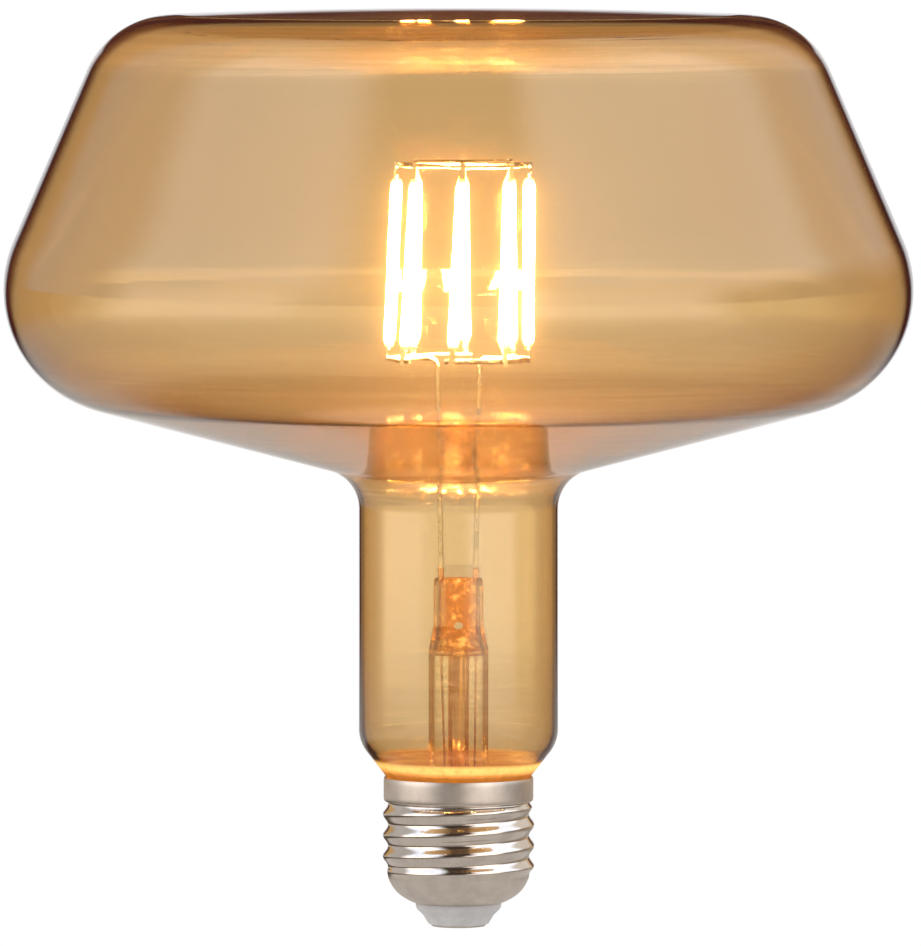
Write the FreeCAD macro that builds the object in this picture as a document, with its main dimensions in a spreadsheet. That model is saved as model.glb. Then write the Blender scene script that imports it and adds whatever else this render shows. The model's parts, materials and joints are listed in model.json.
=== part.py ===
import FreeCAD, Part

# LED filament bulb with a wide reflector shaped glass, a cage of eight lit filaments and a screw cap.
# Millimetres, +Z up. The origin is the middle of the centre contact's face, so the cap is at the bottom.
# The filaments are numbered from +X round to +Y. Left is -X and right is +X.

import math
import os
import re
import Sketcher

SIZES = [
    # Glass envelope
    ("total_height", 158.4, "contact face to the top of the glass"),
    ("widest_diameter", 156.8, "outside of the glass at the belly"),
    ("widest_height", 110.1, "height of the belly's widest ring"),
    ("belly_curve", 21.3, "radius of the belly in section"),
    ("cone_rise", 14.75, "degrees that the lower cone rises from level"),
    ("flank_lean", 23.4, "degrees that the upper flank leans in from upright"),
    ("shoulder_curve", 15.8, "radius where the flank turns into the crown"),
    ("crown_curve", 1250, "radius of the nearly flat crown"),
    ("throat_curve", 6.9, "radius where the neck opens into the cone"),
    ("neck_diameter", 34.4, "outside of the straight neck"),
    ("neck_foot_height", 10.8, "from the skirt's sealed edge up to the straight neck"),
    ("neck_end_curve", 6.5, "radius at the foot of the neck"),
    ("neck_taper", 38, "degrees that the neck's foot leans in from upright"),
    ("skirt_curve", 1, "radius where the skirt opens into the neck"),
    ("skirt_seat", 2.4, "depth of the skirt's sealed edge below the shell's rim"),
    ("glass_wall", 0.9, "thickness of the blown glass"),
    # Glass stem
    ("stem_diameter", 10.3, "outside of the stem tube"),
    ("stem_wall", 0.9, "thickness of the stem tube and its flare"),
    ("flare_margin", 0.1, "how far the flare's flat rim reaches in past the skirt"),
    ("stem_length", 23.6, "from the sealed edge up to the end of the tube's bore"),
    ("pinch_height", 5, "from the bore's end to where the round tube has become the flat press"),
    ("press_height", 8.3, "height of the flat press"),
    ("press_width", 8.6, "width of the press along X"),
    ("press_depth", 4, "thickness of the press along Y"),
    ("press_edge", 0.6, "rounding of the press's top edge"),
    ("blow_hole", 1.6, "diameter of the hole that joins the exhaust tube to the bulb"),
    ("exhaust_diameter", 3.6, "outside of the exhaust tube"),
    ("exhaust_bore", 2.2, "bore of the exhaust tube"),
    ("exhaust_clearance", 2.6, "from the driver board up to the exhaust tube's sealed tip"),
    ("exhaust_seal", 2.6, "length of the solid glass in the tip"),
    ("exhaust_tip_diameter", 2.5, "outside of the tube at its sealed tip"),
    ("exhaust_tip_round", 0.9, "rounding of the sealed tip"),
    # Wires
    ("wire_spacing", 6, "distance between the two wires in the press"),
    ("seal_wire_diameter", 0.6, "wire that passes through the press"),
    ("seal_wire_tail", 1, "length of the seal wire below the bore's end"),
    ("weld_diameter", 1.05, "thick weld on top of each seal wire"),
    ("weld_sink", 1.4, "how far the weld reaches down into the press"),
    ("weld_stand", 1.8, "how far it stands up out of the press"),
    ("weld_round", 0.18, "rounding of the weld's top edge"),
    ("support_diameter", 0.8, "support wires and rings"),
    ("support_lean", 1.1, "degrees that the support wires spread as they rise"),
    ("support_bend", 1.6, "radius of the bend at the top of a support wire"),
    ("lead_diameter", 0.4, "leads between the stem and the driver board"),
    ("lead_bend", 4, "bend radius where those leads start to spread"),
    ("lead_foot_bend", 2, "bend radius where they turn down to the board"),
    ("lead_landing", 6.8, "distance from the axis where the leads reach the board"),
    ("lead_knee_high", 12, "height above the board where the leads start to spread"),
    ("lead_knee_low", 4, "height above the board where the leads turn down to it"),
    ("left_lead_gap", 0.2667, "space between the left lead and the exhaust tube at that upper knee"),
    ("right_lead_gap", 0.8167, "the same space at the right lead"),
    # Filament cage
    ("filament_count", 8, "filaments round the cage"),
    ("lower_ring_radius", 11.9, "middle of the two lower arcs"),
    ("upper_ring_radius", 11.1, "middle of the upper ring"),
    ("crown_clearance", 26.9, "from the upper ring's middle up to the top of the glass"),
    ("cage_lean", 0.8, "distance that the upper ring stands towards +X"),
    ("cage_twist", 5.5, "degrees that the lower arcs are turned back from the upper ring"),
    ("arc_tail", 6, "degrees that each arc runs on past its last filament"),
    ("weld_gap", 0.05, "space left at each welded or pushed-in joint"),
    ("coat_diameter", 2, "glowing coat of a filament"),
    ("coat_length", 29.2, "length of the glowing coat"),
    ("coat_margin", 2.3, "height from each ring's middle to the nearer end of the coat"),
    ("coat_taper", 1.3, "length of the coat's tapered tips"),
    ("coat_tip_diameter", 1.3, "coat at its very end"),
    ("strip_overhang", 0.7, "length of the ceramic strip past each end of the coat"),
    ("strip_width", 0.8, "width of the ceramic strip"),
    ("strip_thickness", 0.4, "thickness of the ceramic strip"),
    ("tab_width", 1, "width of a filament's end tab"),
    ("tab_thickness", 0.3, "thickness of an end tab"),
    ("tab_lap", 1.2, "length of the tab inside the coat"),
    ("tab_tail", 0.7, "length of the tab past the ring's middle"),
    # Screw cap
    ("thread_pitch", 3.629, "rise of one turn"),
    ("thread_diameter", 26.2, "over the crests"),
    ("thread_depth", 0.9, "crest to root"),
    ("thread_phase", 17.6, "height of one crest on the +X side"),
    ("thread_length", 13.1, "from the shell's cone up to its collar"),
    ("thread_wait", 0.3, "height above the cone where the lowest turn begins to rise"),
    ("thread_run_in", 1.6, "height over which the lowest turn rises"),
    ("thread_run_out", 1.2, "height over which the top turn fades"),
    ("shell_sheet", 0.3, "thickness of the rolled sheet"),
    ("shell_foot_diameter", 14.8, "the shell's lower opening, outside"),
    ("shell_foot_height", 4, "height of the shell's lower edge"),
    ("shell_cone_height", 4.5, "height of the shell's cone below the thread"),
    ("shell_cone_bulge", 0.7, "how far the cone's middle bulges"),
    ("collar_step", 0.74, "how far the smooth collar stands out from the thread's roots"),
    ("collar_height", 4.2, "height of the collar above the thread"),
    ("collar_edge", 0.6, "rounding of the collar's lower edge"),
    ("rim_height", 0.8, "height of the rolled rim"),
    ("rim_roll", 0.1, "distance that the rim is rolled in"),
    ("cement_depth", 0.9, "how far the cement lies below the rim"),
    ("cement_wall", 0.29, "thickness of the cement between the skirt and the collar"),
    ("fit_gap", 0.05, "space round what is pushed in or cemented"),
    ("insulator_waist_diameter", 12.2, "insulator where its foot widens to the shell"),
    ("insulator_waist_drop", 2.1, "how far that waist lies below the shell's lower edge"),
    ("insulator_foot_diameter", 10.3, "insulator at the contact"),
    ("insulator_waist_curve", 1.05, "hollow curve of the insulator at its waist"),
    ("insulator_foot_edge", 0.35, "rounding of the insulator's foot"),
    ("insulator_plug", 1.4, "how far the insulator reaches up into the shell"),
    ("contact_diameter", 9.4, "centre contact disc"),
    ("contact_thickness", 0.35, "thickness of the contact disc"),
    ("contact_pin_diameter", 2.5, "pin of the centre contact"),
    ("contact_pin_stand", 0.5, "how far the pin's end stands above the insulator"),
    ("contact_pin_edge", 0.3, "rounding of the pin's end"),
    # Driver in the cap
    ("board_seat", 3.5, "height of the board's underside above the shell's cone"),
    ("board_thickness", 1, "thickness of the board"),
    ("board_margin", 0.3, "space round the board inside the shell"),
    ("capacitor_diameter", 6.3, "smoothing capacitor"),
    ("capacitor_height", 7.5, "height of the capacitor's can"),
    ("capacitor_offset", 6.6, "distance of the capacitor from the axis"),
    ("capacitor_groove", 0.5, "depth of the groove rolled into the can"),
    ("capacitor_edge", 0.4, "rounding of the can's two edges"),
    ("rectifier_length", 6.5, "bridge rectifier along X"),
    ("rectifier_width", 4.6, "bridge rectifier along Y"),
    ("rectifier_height", 2.3, "height of the bridge rectifier"),
    ("rectifier_offset", 6.4, "distance of the rectifier from the axis"),
    ("rectifier_legs", 2, "legs along each side of the rectifier"),
    ("chip_length", 4.9, "driver chip along Y"),
    ("chip_width", 3.9, "driver chip along X"),
    ("chip_height", 1.5, "height of the driver chip"),
    ("chip_offset", 6, "distance of the chip from the axis"),
    ("chip_legs", 4, "legs along each side of the chip"),
    ("package_bevel", 0.3, "bevel round the top of the chip and the rectifier"),
    ("leg_width", 0.5, "legs of the chip and the rectifier"),
    ("leg_reach", 0.9, "length that a leg stands out"),
    ("leg_thickness", 0.2, "thickness of a leg"),
    ("inductor_diameter", 6, "flanges of the inductor's core"),
    ("inductor_height", 4.5, "height of the inductor"),
    ("inductor_flange", 0.8, "thickness of each flange"),
    ("inductor_edge", 0.2, "rounding of each flange"),
    ("inductor_winding", 4.8, "diameter of the inductor's winding"),
    ("inductor_offset", 5.4, "distance of the inductor from the axis"),
    ("fuse_diameter", 2.4, "fuse resistor"),
    ("fuse_barrel", 2.2, "the fuse resistor between its end caps"),
    ("fuse_length", 6, "length of the fuse resistor"),
    ("fuse_end", 0.8, "length of each end cap of the fuse resistor"),
    ("fuse_edge", 0.3, "rounding of each end cap"),
    ("fuse_offset", 6.8, "distance of the fuse resistor from the axis"),
    ("cap_lead_diameter", 0.5, "leads to the contact and to the shell"),
    ("cap_lead_bend", 2, "bend radius of the shell's lead"),
    ("shell_lead_angle", 140, "degrees round from +X where the shell's lead stands"),
    ("shell_lead_inset", 1.7, "from the thread's roots in to where the shell's lead leaves the board"),
    ("shell_lead_rise", 3.5, "height over which that lead swings out to the shell"),
    ("shell_lead_stop", 1, "how far its upper end lies below the collar"),
]

SHEET = "sizes"
ALIASES = {alias for alias, number, meaning in SIZES}
START, END, CENTRE = range(1, 4)
UPRIGHT_AXIS, LEVEL_AXIS = range(-2, 0)
ORIGIN = (LEVEL_AXIS, START)

# The spline net that the rolled shell is laid on, and the shares of the cone's height that have a row
NET_COLUMNS, NET_ROWS_PER_TURN = 24, 8
CONE_ROWS = (0, 0.12, 0.45, 0.75, 0.93)

# Radii that the cap sets: its roots outside and inside, its collar, and the glass skirt inside the cement
ROOT_RADIUS = "(thread_diameter / 2 - thread_depth)"
CLEAR_RADIUS = "(%s - shell_sheet)" % ROOT_RADIUS
COLLAR_RADIUS = "(%s + collar_step)" % ROOT_RADIUS
SKIRT_RADIUS = "(%s - shell_sheet - fit_gap - cement_wall)" % COLLAR_RADIUS

# Heights from the cap upwards, each set on the one before it
CONE_TOP = "(shell_foot_height + shell_cone_height)"
COLLAR_START = "(%s + thread_length)" % CONE_TOP
SHELL_TOP = "(%s + collar_height)" % COLLAR_START
SKIRT_END = "(%s - skirt_seat)" % SHELL_TOP
NECK_START = "(%s + neck_foot_height)" % SKIRT_END
BOARD_FLOOR = "(%s + board_seat)" % CONE_TOP
BOARD_TOP = "(%s + board_thickness)" % BOARD_FLOOR
INSULATOR_TOP = "(shell_foot_height + insulator_plug)"
PIN_TOP = "(%s + contact_pin_stand)" % INSULATOR_TOP
EXHAUST_TIP = "(%s + exhaust_clearance)" % BOARD_TOP
PRESS_FLOOR = "(%s + stem_length)" % SKIRT_END
PRESS_START = "(%s + pinch_height)" % PRESS_FLOOR
PRESS_TOP = "(%s + press_height)" % PRESS_START
WELD_START = "(%s - weld_sink)" % PRESS_TOP
WELD_TOP = "(%s + weld_stand)" % PRESS_TOP
SEAL_WIRE_FOOT = "(%s - seal_wire_tail)" % PRESS_FLOOR

# The cage hangs at its clearance below the crown, and its filaments set its height
UPPER_RING = "(total_height - crown_clearance)"
LOWER_RING = "(%s - coat_length - 2 * coat_margin)" % UPPER_RING
LEGS = {"bridge_rectifier": "rectifier_legs", "driver_chip": "chip_legs"}

doc = FreeCAD.newDocument("filament_bulb")
sheet = doc.addObject("Spreadsheet::Sheet", SHEET)
finished = []


def fill_sheet():
    """Write each size, its name and its meaning into one row of the sheet."""
    for row, (alias, number, meaning) in enumerate(SIZES, 1):
        sheet.set("A%d" % row, alias)
        sheet.set("B%d" % row, str(number))
        sheet.set("C%d" % row, meaning)
        sheet.setAlias("B%d" % row, alias)
    doc.recompute()


def on_sheet(text):
    """Put the sheet's name before each size named in an expression."""

    def named(match):
        return SHEET + "." + match.group() if match.group() in ALIASES else match.group()

    return re.sub(r"[a-z][a-z_0-9]*", named, str(text))


def size(text):
    """The number that an expression of sizes gives."""
    return float(sheet.evalExpression(on_sheet(text)))


def bind(thing, name, text):
    """Tie a property to an expression of sizes."""
    thing.setExpression(name, on_sheet(text))


def point(across, up):
    return FreeCAD.Vector(across, up, 0)


def origin_part(body, role):
    """A plane or an axis of the body's own origin."""
    return next(item for item in body.Origin.OriginFeatures if item.Role == role)


def new_body(label):
    body = doc.addObject("PartDesign::Body", label)
    body.Label = label
    return body


def new_sketch(body, name, role="XZ_Plane", lift=None):
    """A sketch on one of the body's own planes, lifted along Z if lift is given."""
    sketch = body.newObject("Sketcher::SketchObject", name)
    sketch.AttachmentSupport = [(origin_part(body, role), "")]
    sketch.MapMode = "FlatFace"
    if lift is not None:
        bind(sketch, "AttachmentOffset.Base.z", lift)
    return sketch


def hold(sketch, kind, name, text, *where):
    """Add a dimension and tie it to an expression of sizes."""
    number = size(text)
    if kind == "Angle":
        index = sketch.addConstraint(Sketcher.Constraint(kind, *where, math.radians(number)))
        text = "(%s) * 1 deg" % text
    else:
        index = sketch.addConstraint(Sketcher.Constraint(kind, *where, number))
    sketch.renameConstraint(index, name)
    bind(sketch, "Constraints." + name, text)


def hold_point(sketch, name, across, up, edge, end):
    """Fix a point at a distance across and up from the origin."""
    if across == "0":
        sketch.addConstraint(Sketcher.Constraint("PointOnObject", edge, end, UPRIGHT_AXIS))
    else:
        hold(sketch, "DistanceX", name + "_across", across, *ORIGIN, edge, end)
    if up == "0":
        sketch.addConstraint(Sketcher.Constraint("PointOnObject", edge, end, LEVEL_AXIS))
    else:
        hold(sketch, "DistanceY", name + "_up", up, *ORIGIN, edge, end)


def add_line(sketch, start, end):
    return sketch.addGeometry(Part.LineSegment(point(*start), point(*end)), False)


def add_arc(sketch, centre, radius, start_degrees, end_degrees):
    circle = Part.Circle(point(*centre), FreeCAD.Vector(0, 0, 1), radius)
    arc = Part.ArcOfCircle(circle, math.radians(start_degrees), math.radians(end_degrees))
    return sketch.addGeometry(arc, False)


def draw_outline(sketch, corners):
    """Draw a closed outline from (name, across, up, rounding) corners, all expressions of sizes."""
    spots = [FreeCAD.Vector(size(across), size(up), 0) for name, across, up, rounding in corners]
    count = len(corners)
    cuts = []
    for index, (name, across, up, rounding) in enumerate(corners):
        back = (spots[index - 1] - spots[index]).normalize()
        ahead = (spots[(index + 1) % count] - spots[index]).normalize()
        reach = 0.0
        if rounding:
            reach = size(rounding) / math.tan(back.getAngle(ahead) / 2)
        cuts.append((spots[index] + back * reach, spots[index] + ahead * reach, back, ahead))
    lines = []
    for index in range(count):
        start = cuts[index][1]
        end = cuts[(index + 1) % count][0]
        lines.append(sketch.addGeometry(Part.LineSegment(start, end), False))
    for index, (name, across, up, rounding) in enumerate(corners):
        before = lines[index - 1]
        after = lines[index]
        if not rounding:
            sketch.addConstraint(Sketcher.Constraint("Coincident", before, END, after, START))
            hold_point(sketch, name, across, up, after, START)
            continue
        entry, leave, back, ahead = cuts[index]
        middle = (back + ahead).normalize()
        half = back.getAngle(ahead) / 2
        centre = spots[index] + middle * (size(rounding) / math.sin(half))
        on_arc = centre - middle * size(rounding)
        arc = sketch.addGeometry(Part.Arc(entry, on_arc, leave), False)
        turns_left = back.cross(ahead).z < 0
        near, far = (START, END) if turns_left else (END, START)
        sketch.addConstraint(Sketcher.Constraint("Tangent", before, END, arc, near))
        sketch.addConstraint(Sketcher.Constraint("Tangent", after, START, arc, far))
        hold(sketch, "Radius", name + "_rounding", rounding, arc)
        corner = sketch.addGeometry(Part.Point(spots[index]), True)
        sketch.addConstraint(Sketcher.Constraint("PointOnObject", corner, START, before))
        sketch.addConstraint(Sketcher.Constraint("PointOnObject", corner, START, after))
        hold_point(sketch, name, across, up, corner, START)


def spin(body, name, sketch, kind="PartDesign::Revolution", degrees="360"):
    """Turn a section round the body's upright axis, to add it or to cut it away."""
    turned = body.newObject(kind, name)
    turned.Profile = sketch
    turned.ReferenceAxis = (origin_part(body, "Z_Axis"), [""])
    bind(turned, "Angle", degrees)
    doc.recompute()
    return turned


def turned_body(label, corners):
    """A body made as one turned piece from its half section."""
    body = new_body(label)
    section = new_sketch(body, label + "_section")
    draw_outline(section, corners)
    spin(body, label + "_turned", section)
    return body


def pad(body, name, sketch, length, midplane=False):
    padded = body.newObject("PartDesign::Pad", name)
    padded.Profile = sketch
    padded.Midplane = midplane
    bind(padded, "Length", length)
    doc.recompute()
    return padded


def pocket(body, name, sketch, length, midplane=False, upwards=False):
    """Cut a pocket, and stop if it cuts nothing."""
    before = body.Shape.Volume
    cut = body.newObject("PartDesign::Pocket", name)
    cut.Profile = sketch
    cut.Midplane = midplane
    cut.Reversed = upwards
    bind(cut, "Length", length)
    doc.recompute()
    if not cut.Shape.Volume < before:
        raise RuntimeError(name + " cuts nothing")
    return cut


def draw_rectangle(sketch, name, left, right, low, high):
    corners = [(name + "_a", left, low, None), (name + "_b", right, low, None)]
    corners += [(name + "_c", right, high, None), (name + "_d", left, high, None)]
    draw_outline(sketch, corners)


def draw_circle(sketch, name, across, up, radius):
    circle = Part.Circle(point(size(across), size(up)), FreeCAD.Vector(0, 0, 1), size(radius))
    index = sketch.addGeometry(circle, False)
    hold_point(sketch, name, across, up, index, CENTRE)
    hold(sketch, "Radius", name + "_radius", radius, index)


def finish(thing, label):
    """Keep a sub-part under its own label."""
    thing.Label = label
    finished.append(thing)


def at_angle(degrees, radius, height, turned=0):
    """A place round the upright axis, and what faces outwards there turned by some more degrees."""
    spot = FreeCAD.Rotation(FreeCAD.Vector(0, 0, 1), degrees).multVec(FreeCAD.Vector(radius, 0, height))
    return FreeCAD.Placement(spot, FreeCAD.Rotation(FreeCAD.Vector(0, 0, 1), degrees + turned))


def draw_glass(sketch, name, inset, foot):
    """Half section of the blown glass, all of it inset from the outside by the same distance."""
    out = size("widest_diameter / 2")
    neck = size("neck_diameter / 2")
    skirt = size(SKIRT_RADIUS)
    wall = size(inset)
    rise = size("cone_rise")
    lean = size("flank_lean")
    taper = size("neck_taper")

    def along(degrees):
        return FreeCAD.Vector(math.cos(math.radians(degrees)), math.sin(math.radians(degrees)), 0)

    # The neck's foot: an arc that bulges out, and below it the hollow arc into the skirt
    foot_centre = FreeCAD.Vector(neck - size("neck_end_curve"), size(NECK_START), 0)
    foot_radius = size("neck_end_curve") - wall
    taper_out = along(-taper)
    taper_line = foot_centre.dot(taper_out) + foot_radius
    skirt_radius = size("skirt_curve") + wall
    skirt_across = skirt + size("skirt_curve")
    skirt_up = (skirt_across * taper_out.x - skirt_radius - taper_line) / -taper_out.y
    skirt_centre = FreeCAD.Vector(skirt_across, skirt_up, 0)

    # The belly, then the hollow throat that its lower cone runs into
    belly_centre = FreeCAD.Vector(out - size("belly_curve"), size("widest_height"), 0)
    belly_radius = size("belly_curve") - wall
    cone_out = along(rise - 90)
    cone_line = belly_centre.dot(cone_out) + belly_radius
    throat_radius = size("throat_curve") + wall
    throat_across = neck + size("throat_curve")
    throat_up = (throat_across * cone_out.x - throat_radius - cone_line) / -cone_out.y
    throat_centre = FreeCAD.Vector(throat_across, throat_up, 0)

    # The shoulder touches the flank and lies inside the crown's great circle
    crown_centre = FreeCAD.Vector(0, size("total_height - crown_curve"), 0)
    crown_radius = size("crown_curve") - wall
    flank_out = along(lean)
    flank_up = along(lean + 90)
    shoulder_radius = size("shoulder_curve") - wall
    level = belly_centre.dot(flank_out) + belly_radius - shoulder_radius
    gap = crown_radius - shoulder_radius
    climb = math.sqrt(gap ** 2 - (level - crown_centre.dot(flank_out)) ** 2)
    shoulder_centre = flank_out * level + flank_up * (crown_centre.dot(flank_up) + climb)
    to_shoulder = shoulder_centre - crown_centre
    toward_crown = math.degrees(math.atan2(to_shoulder.y, to_shoulder.x))

    def flat(vector):
        return vector.x, vector.y

    bottom = size(foot)
    skirt_top = (skirt - wall, skirt_up)
    skirt_line = add_line(sketch, (skirt - wall, bottom), skirt_top)
    skirt_arc = add_arc(sketch, flat(skirt_centre), skirt_radius, 180 - taper, 180)
    taper_start = skirt_centre - taper_out * skirt_radius
    taper_end = foot_centre + taper_out * foot_radius
    foot_line = add_line(sketch, flat(taper_start), flat(taper_end))
    foot_arc = add_arc(sketch, flat(foot_centre), foot_radius, -taper, 0)
    neck_line = add_line(sketch, (neck - wall, foot_centre.y), (neck - wall, throat_centre.y))
    throat_arc = add_arc(sketch, flat(throat_centre), throat_radius, 90 + rise, 180)
    cone_start = throat_centre - cone_out * throat_radius
    cone_end = belly_centre + cone_out * belly_radius
    lower_cone = add_line(sketch, flat(cone_start), flat(cone_end))
    belly_arc = add_arc(sketch, flat(belly_centre), belly_radius, rise - 90, lean)
    flank_start = belly_centre + flank_out * belly_radius
    flank_end = shoulder_centre + flank_out * shoulder_radius
    flank = add_line(sketch, flat(flank_start), flat(flank_end))
    shoulder_arc = add_arc(sketch, flat(shoulder_centre), shoulder_radius, lean, toward_crown)
    crown_arc = add_arc(sketch, flat(crown_centre), crown_radius, toward_crown, 90)
    axis_line = add_line(sketch, (0, size("total_height") - wall), (0, bottom))
    floor_line = add_line(sketch, (0, bottom), (skirt - wall, bottom))

    chain = [(skirt_line, END, skirt_arc, END), (skirt_arc, START, foot_line, START)]
    chain += [(foot_line, END, foot_arc, START), (foot_arc, END, neck_line, START)]
    chain += [(neck_line, END, throat_arc, END), (throat_arc, START, lower_cone, START)]
    chain += [(lower_cone, END, belly_arc, START), (belly_arc, END, flank, START)]
    chain += [(flank, END, shoulder_arc, START), (shoulder_arc, END, crown_arc, START)]
    for one, one_end, other, other_end in chain:
        sketch.addConstraint(Sketcher.Constraint("Tangent", one, one_end, other, other_end))
    for one, other in ((crown_arc, axis_line), (axis_line, floor_line), (floor_line, skirt_line)):
        sketch.addConstraint(Sketcher.Constraint("Coincident", one, END, other, START))
    sketch.addConstraint(Sketcher.Constraint("Vertical", skirt_line))
    sketch.addConstraint(Sketcher.Constraint("Vertical", neck_line))
    sketch.addConstraint(Sketcher.Constraint("PointOnObject", crown_arc, CENTRE, UPRIGHT_AXIS))
    sketch.addConstraint(Sketcher.Constraint("Horizontal", floor_line))
    hold_point(sketch, "foot", "0", foot, axis_line, END)
    hold(sketch, "DistanceX", "skirt", SKIRT_RADIUS + " - " + inset, *ORIGIN, skirt_line, START)
    hold(sketch, "Radius", "skirt_curve", "skirt_curve + " + inset, skirt_arc)
    hold(sketch, "Angle", "taper", "90 - neck_taper", foot_line)
    hold(sketch, "Radius", "neck_foot", "neck_end_curve - " + inset, foot_arc)
    hold_point(sketch, "neck", "neck_diameter / 2 - " + inset, NECK_START, neck_line, START)
    hold(sketch, "Radius", "throat", "throat_curve + " + inset, throat_arc)
    hold(sketch, "Angle", "rise", "cone_rise", lower_cone)
    belly_across = "widest_diameter / 2 - belly_curve"
    hold_point(sketch, "belly", belly_across, "widest_height", belly_arc, CENTRE)
    hold(sketch, "Radius", "belly", "belly_curve - " + inset, belly_arc)
    hold(sketch, "Angle", "lean", "90 + flank_lean", flank)
    hold(sketch, "Radius", "shoulder", "shoulder_curve - " + inset, shoulder_arc)
    hold(sketch, "Radius", "crown", "crown_curve - " + inset, crown_arc)
    hold_point(sketch, "top", "0", "total_height - " + inset, axis_line, START)


def make_glass_envelope():
    """The blown glass: its outside turned as a solid, then hollowed to an even wall."""
    body = new_body("glass_envelope")
    outside = new_sketch(body, "glass_outside")
    draw_glass(outside, "outside", "0", SKIRT_END)
    spin(body, "glass_blown", outside)
    inside = new_sketch(body, "glass_inside")
    draw_glass(inside, "inside", "glass_wall", SKIRT_END + " - glass_wall")
    spin(body, "glass_hollow", inside, "PartDesign::Groove")
    finish(body, "glass_envelope")


def draw_round_section(sketch, radius):
    """A circle in four equal arcs, which start at the same places as the press section's edges."""
    reach = size(radius)
    arcs = [add_arc(sketch, (0, 0), reach, start, start + 90) for start in (45, 135, 225, 315)]
    for index, arc in enumerate(arcs):
        sketch.addConstraint(Sketcher.Constraint("Coincident", arc, CENTRE, *ORIGIN))
        corner = "(%s) * %s" % (radius, "cos(45)" if index in (0, 3) else "-cos(45)")
        hold(sketch, "DistanceX", "corner_%d" % index, corner, *ORIGIN, arc, START)
    for arc, after in zip(arcs, arcs[1:]):
        sketch.addConstraint(Sketcher.Constraint("Coincident", arc, END, after, START))
    hold(sketch, "DistanceX", "last_corner", "(%s) * cos(45)" % radius, *ORIGIN, arcs[-1], END)
    hold(sketch, "Radius", "radius", radius, arcs[0])


def draw_press_section(sketch, width, depth):
    """The press's flat section with round ends: top edge, left end, bottom edge, right end."""
    flat = "((%s) - (%s)) / 2" % (width, depth)
    reach = size(flat)
    half = size(depth) / 2
    upper = add_line(sketch, (reach, half), (-reach, half))
    left = add_arc(sketch, (-reach, 0), half, 90, 270)
    lower = add_line(sketch, (-reach, -half), (reach, -half))
    right = add_arc(sketch, (reach, 0), half, 270, 450)
    ring = [upper, left, lower, right]
    for index, edge in enumerate(ring):
        after = ring[(index + 1) % len(ring)]
        sketch.addConstraint(Sketcher.Constraint("Tangent", edge, END, after, START))
    sketch.addConstraint(Sketcher.Constraint("Horizontal", upper))
    hold_point(sketch, "left", "-" + flat, "0", left, CENTRE)
    hold_point(sketch, "right", flat, "0", right, CENTRE)
    hold(sketch, "Radius", "end", "(%s) / 2" % depth, right)


def top_edges(shape):
    """Names of the edges that lie wholly in the shape's top face."""
    top = shape.BoundBox.ZMax - 1e-6
    return ["Edge%d" % number for number, edge in enumerate(shape.Edges, 1) if edge.BoundBox.ZMin > top]


def turn_stem_tube(body):
    """The stem's tube, flared out at its foot to the width of the glass skirt."""
    tube = "stem_diameter / 2"
    bore = "stem_diameter / 2 - stem_wall"
    seat = SKIRT_RADIUS + " - glass_wall - flare_margin"
    flare = "(%s) - %s" % (seat, tube)
    under = SKIRT_END + " - stem_wall"
    section = new_sketch(body, "stem_section")
    draw_outline(section, [
        ("shoulder", tube, PRESS_FLOOR + " + stem_wall", None),
        ("lid", "0", PRESS_FLOOR + " + stem_wall", None),
        ("ceiling", "0", PRESS_FLOOR, None),
        ("bore", bore, PRESS_FLOOR, None),
        ("flare_under", bore, under, flare + " + stem_wall"),
        ("rim_under", SKIRT_RADIUS, under, None),
        ("rim", SKIRT_RADIUS, SKIRT_END, None),
        ("flare", tube, SKIRT_END, flare),
    ])
    spin(body, "stem_tube", section)


def pinch_stem(body):
    """The press: the hot tube pinched flat, with its top edge softened."""
    round_section = new_sketch(body, "round_section", "XY_Plane", PRESS_FLOOR + " + stem_wall")
    draw_round_section(round_section, "stem_diameter / 2")
    flat_section = new_sketch(body, "flat_section", "XY_Plane", PRESS_START)
    draw_press_section(flat_section, "press_width", "press_depth")
    pinch = body.newObject("PartDesign::AdditiveLoft", "stem_pinch")
    pinch.Profile = round_section
    pinch.Sections = [flat_section]
    doc.recompute()
    press_section = new_sketch(body, "press_section", "XY_Plane", PRESS_START)
    draw_press_section(press_section, "press_width", "press_depth")
    press = pad(body, "stem_press", press_section, PRESS_TOP + " - " + PRESS_START)
    softened = body.newObject("PartDesign::Fillet", "press_edge")
    softened.Base = (press, top_edges(press.Shape))
    bind(softened, "Radius", "press_edge")
    doc.recompute()


def bore_stem(body):
    """The wires' way through the press, and the blow hole that opens below the press on both sides."""
    for name, low, high, diameter in (
        ("seal_holes", PRESS_FLOOR, WELD_START, "seal_wire_diameter"),
        ("weld_holes", WELD_START, PRESS_TOP, "weld_diameter"),
    ):
        holes = new_sketch(body, name, "XY_Plane", low)
        draw_circle(holes, "left", "-wire_spacing / 2", "0", diameter + " / 2")
        draw_circle(holes, "right", "wire_spacing / 2", "0", diameter + " / 2")
        pocket(body, name + "_cut", holes, "%s - %s" % (high, low), upwards=True)
    shaft = new_sketch(body, "blow_shaft", "XY_Plane", PRESS_FLOOR)
    draw_circle(shaft, "shaft", "0", "0", "blow_hole / 2")
    pocket(body, "blow_shaft_cut", shaft, PRESS_START + " - " + PRESS_FLOOR, upwards=True)
    window = new_sketch(body, "blow_window")
    draw_circle(window, "window", "0", PRESS_START, "blow_hole / 2")
    pocket(body, "blow_window_cut", window, "stem_diameter", midplane=True)


def make_glass_stem():
    """The flared tube, pinched flat at its top round the two wires."""
    body = new_body("glass_stem")
    turn_stem_tube(body)
    pinch_stem(body)
    bore_stem(body)
    finish(body, "glass_stem")


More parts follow.
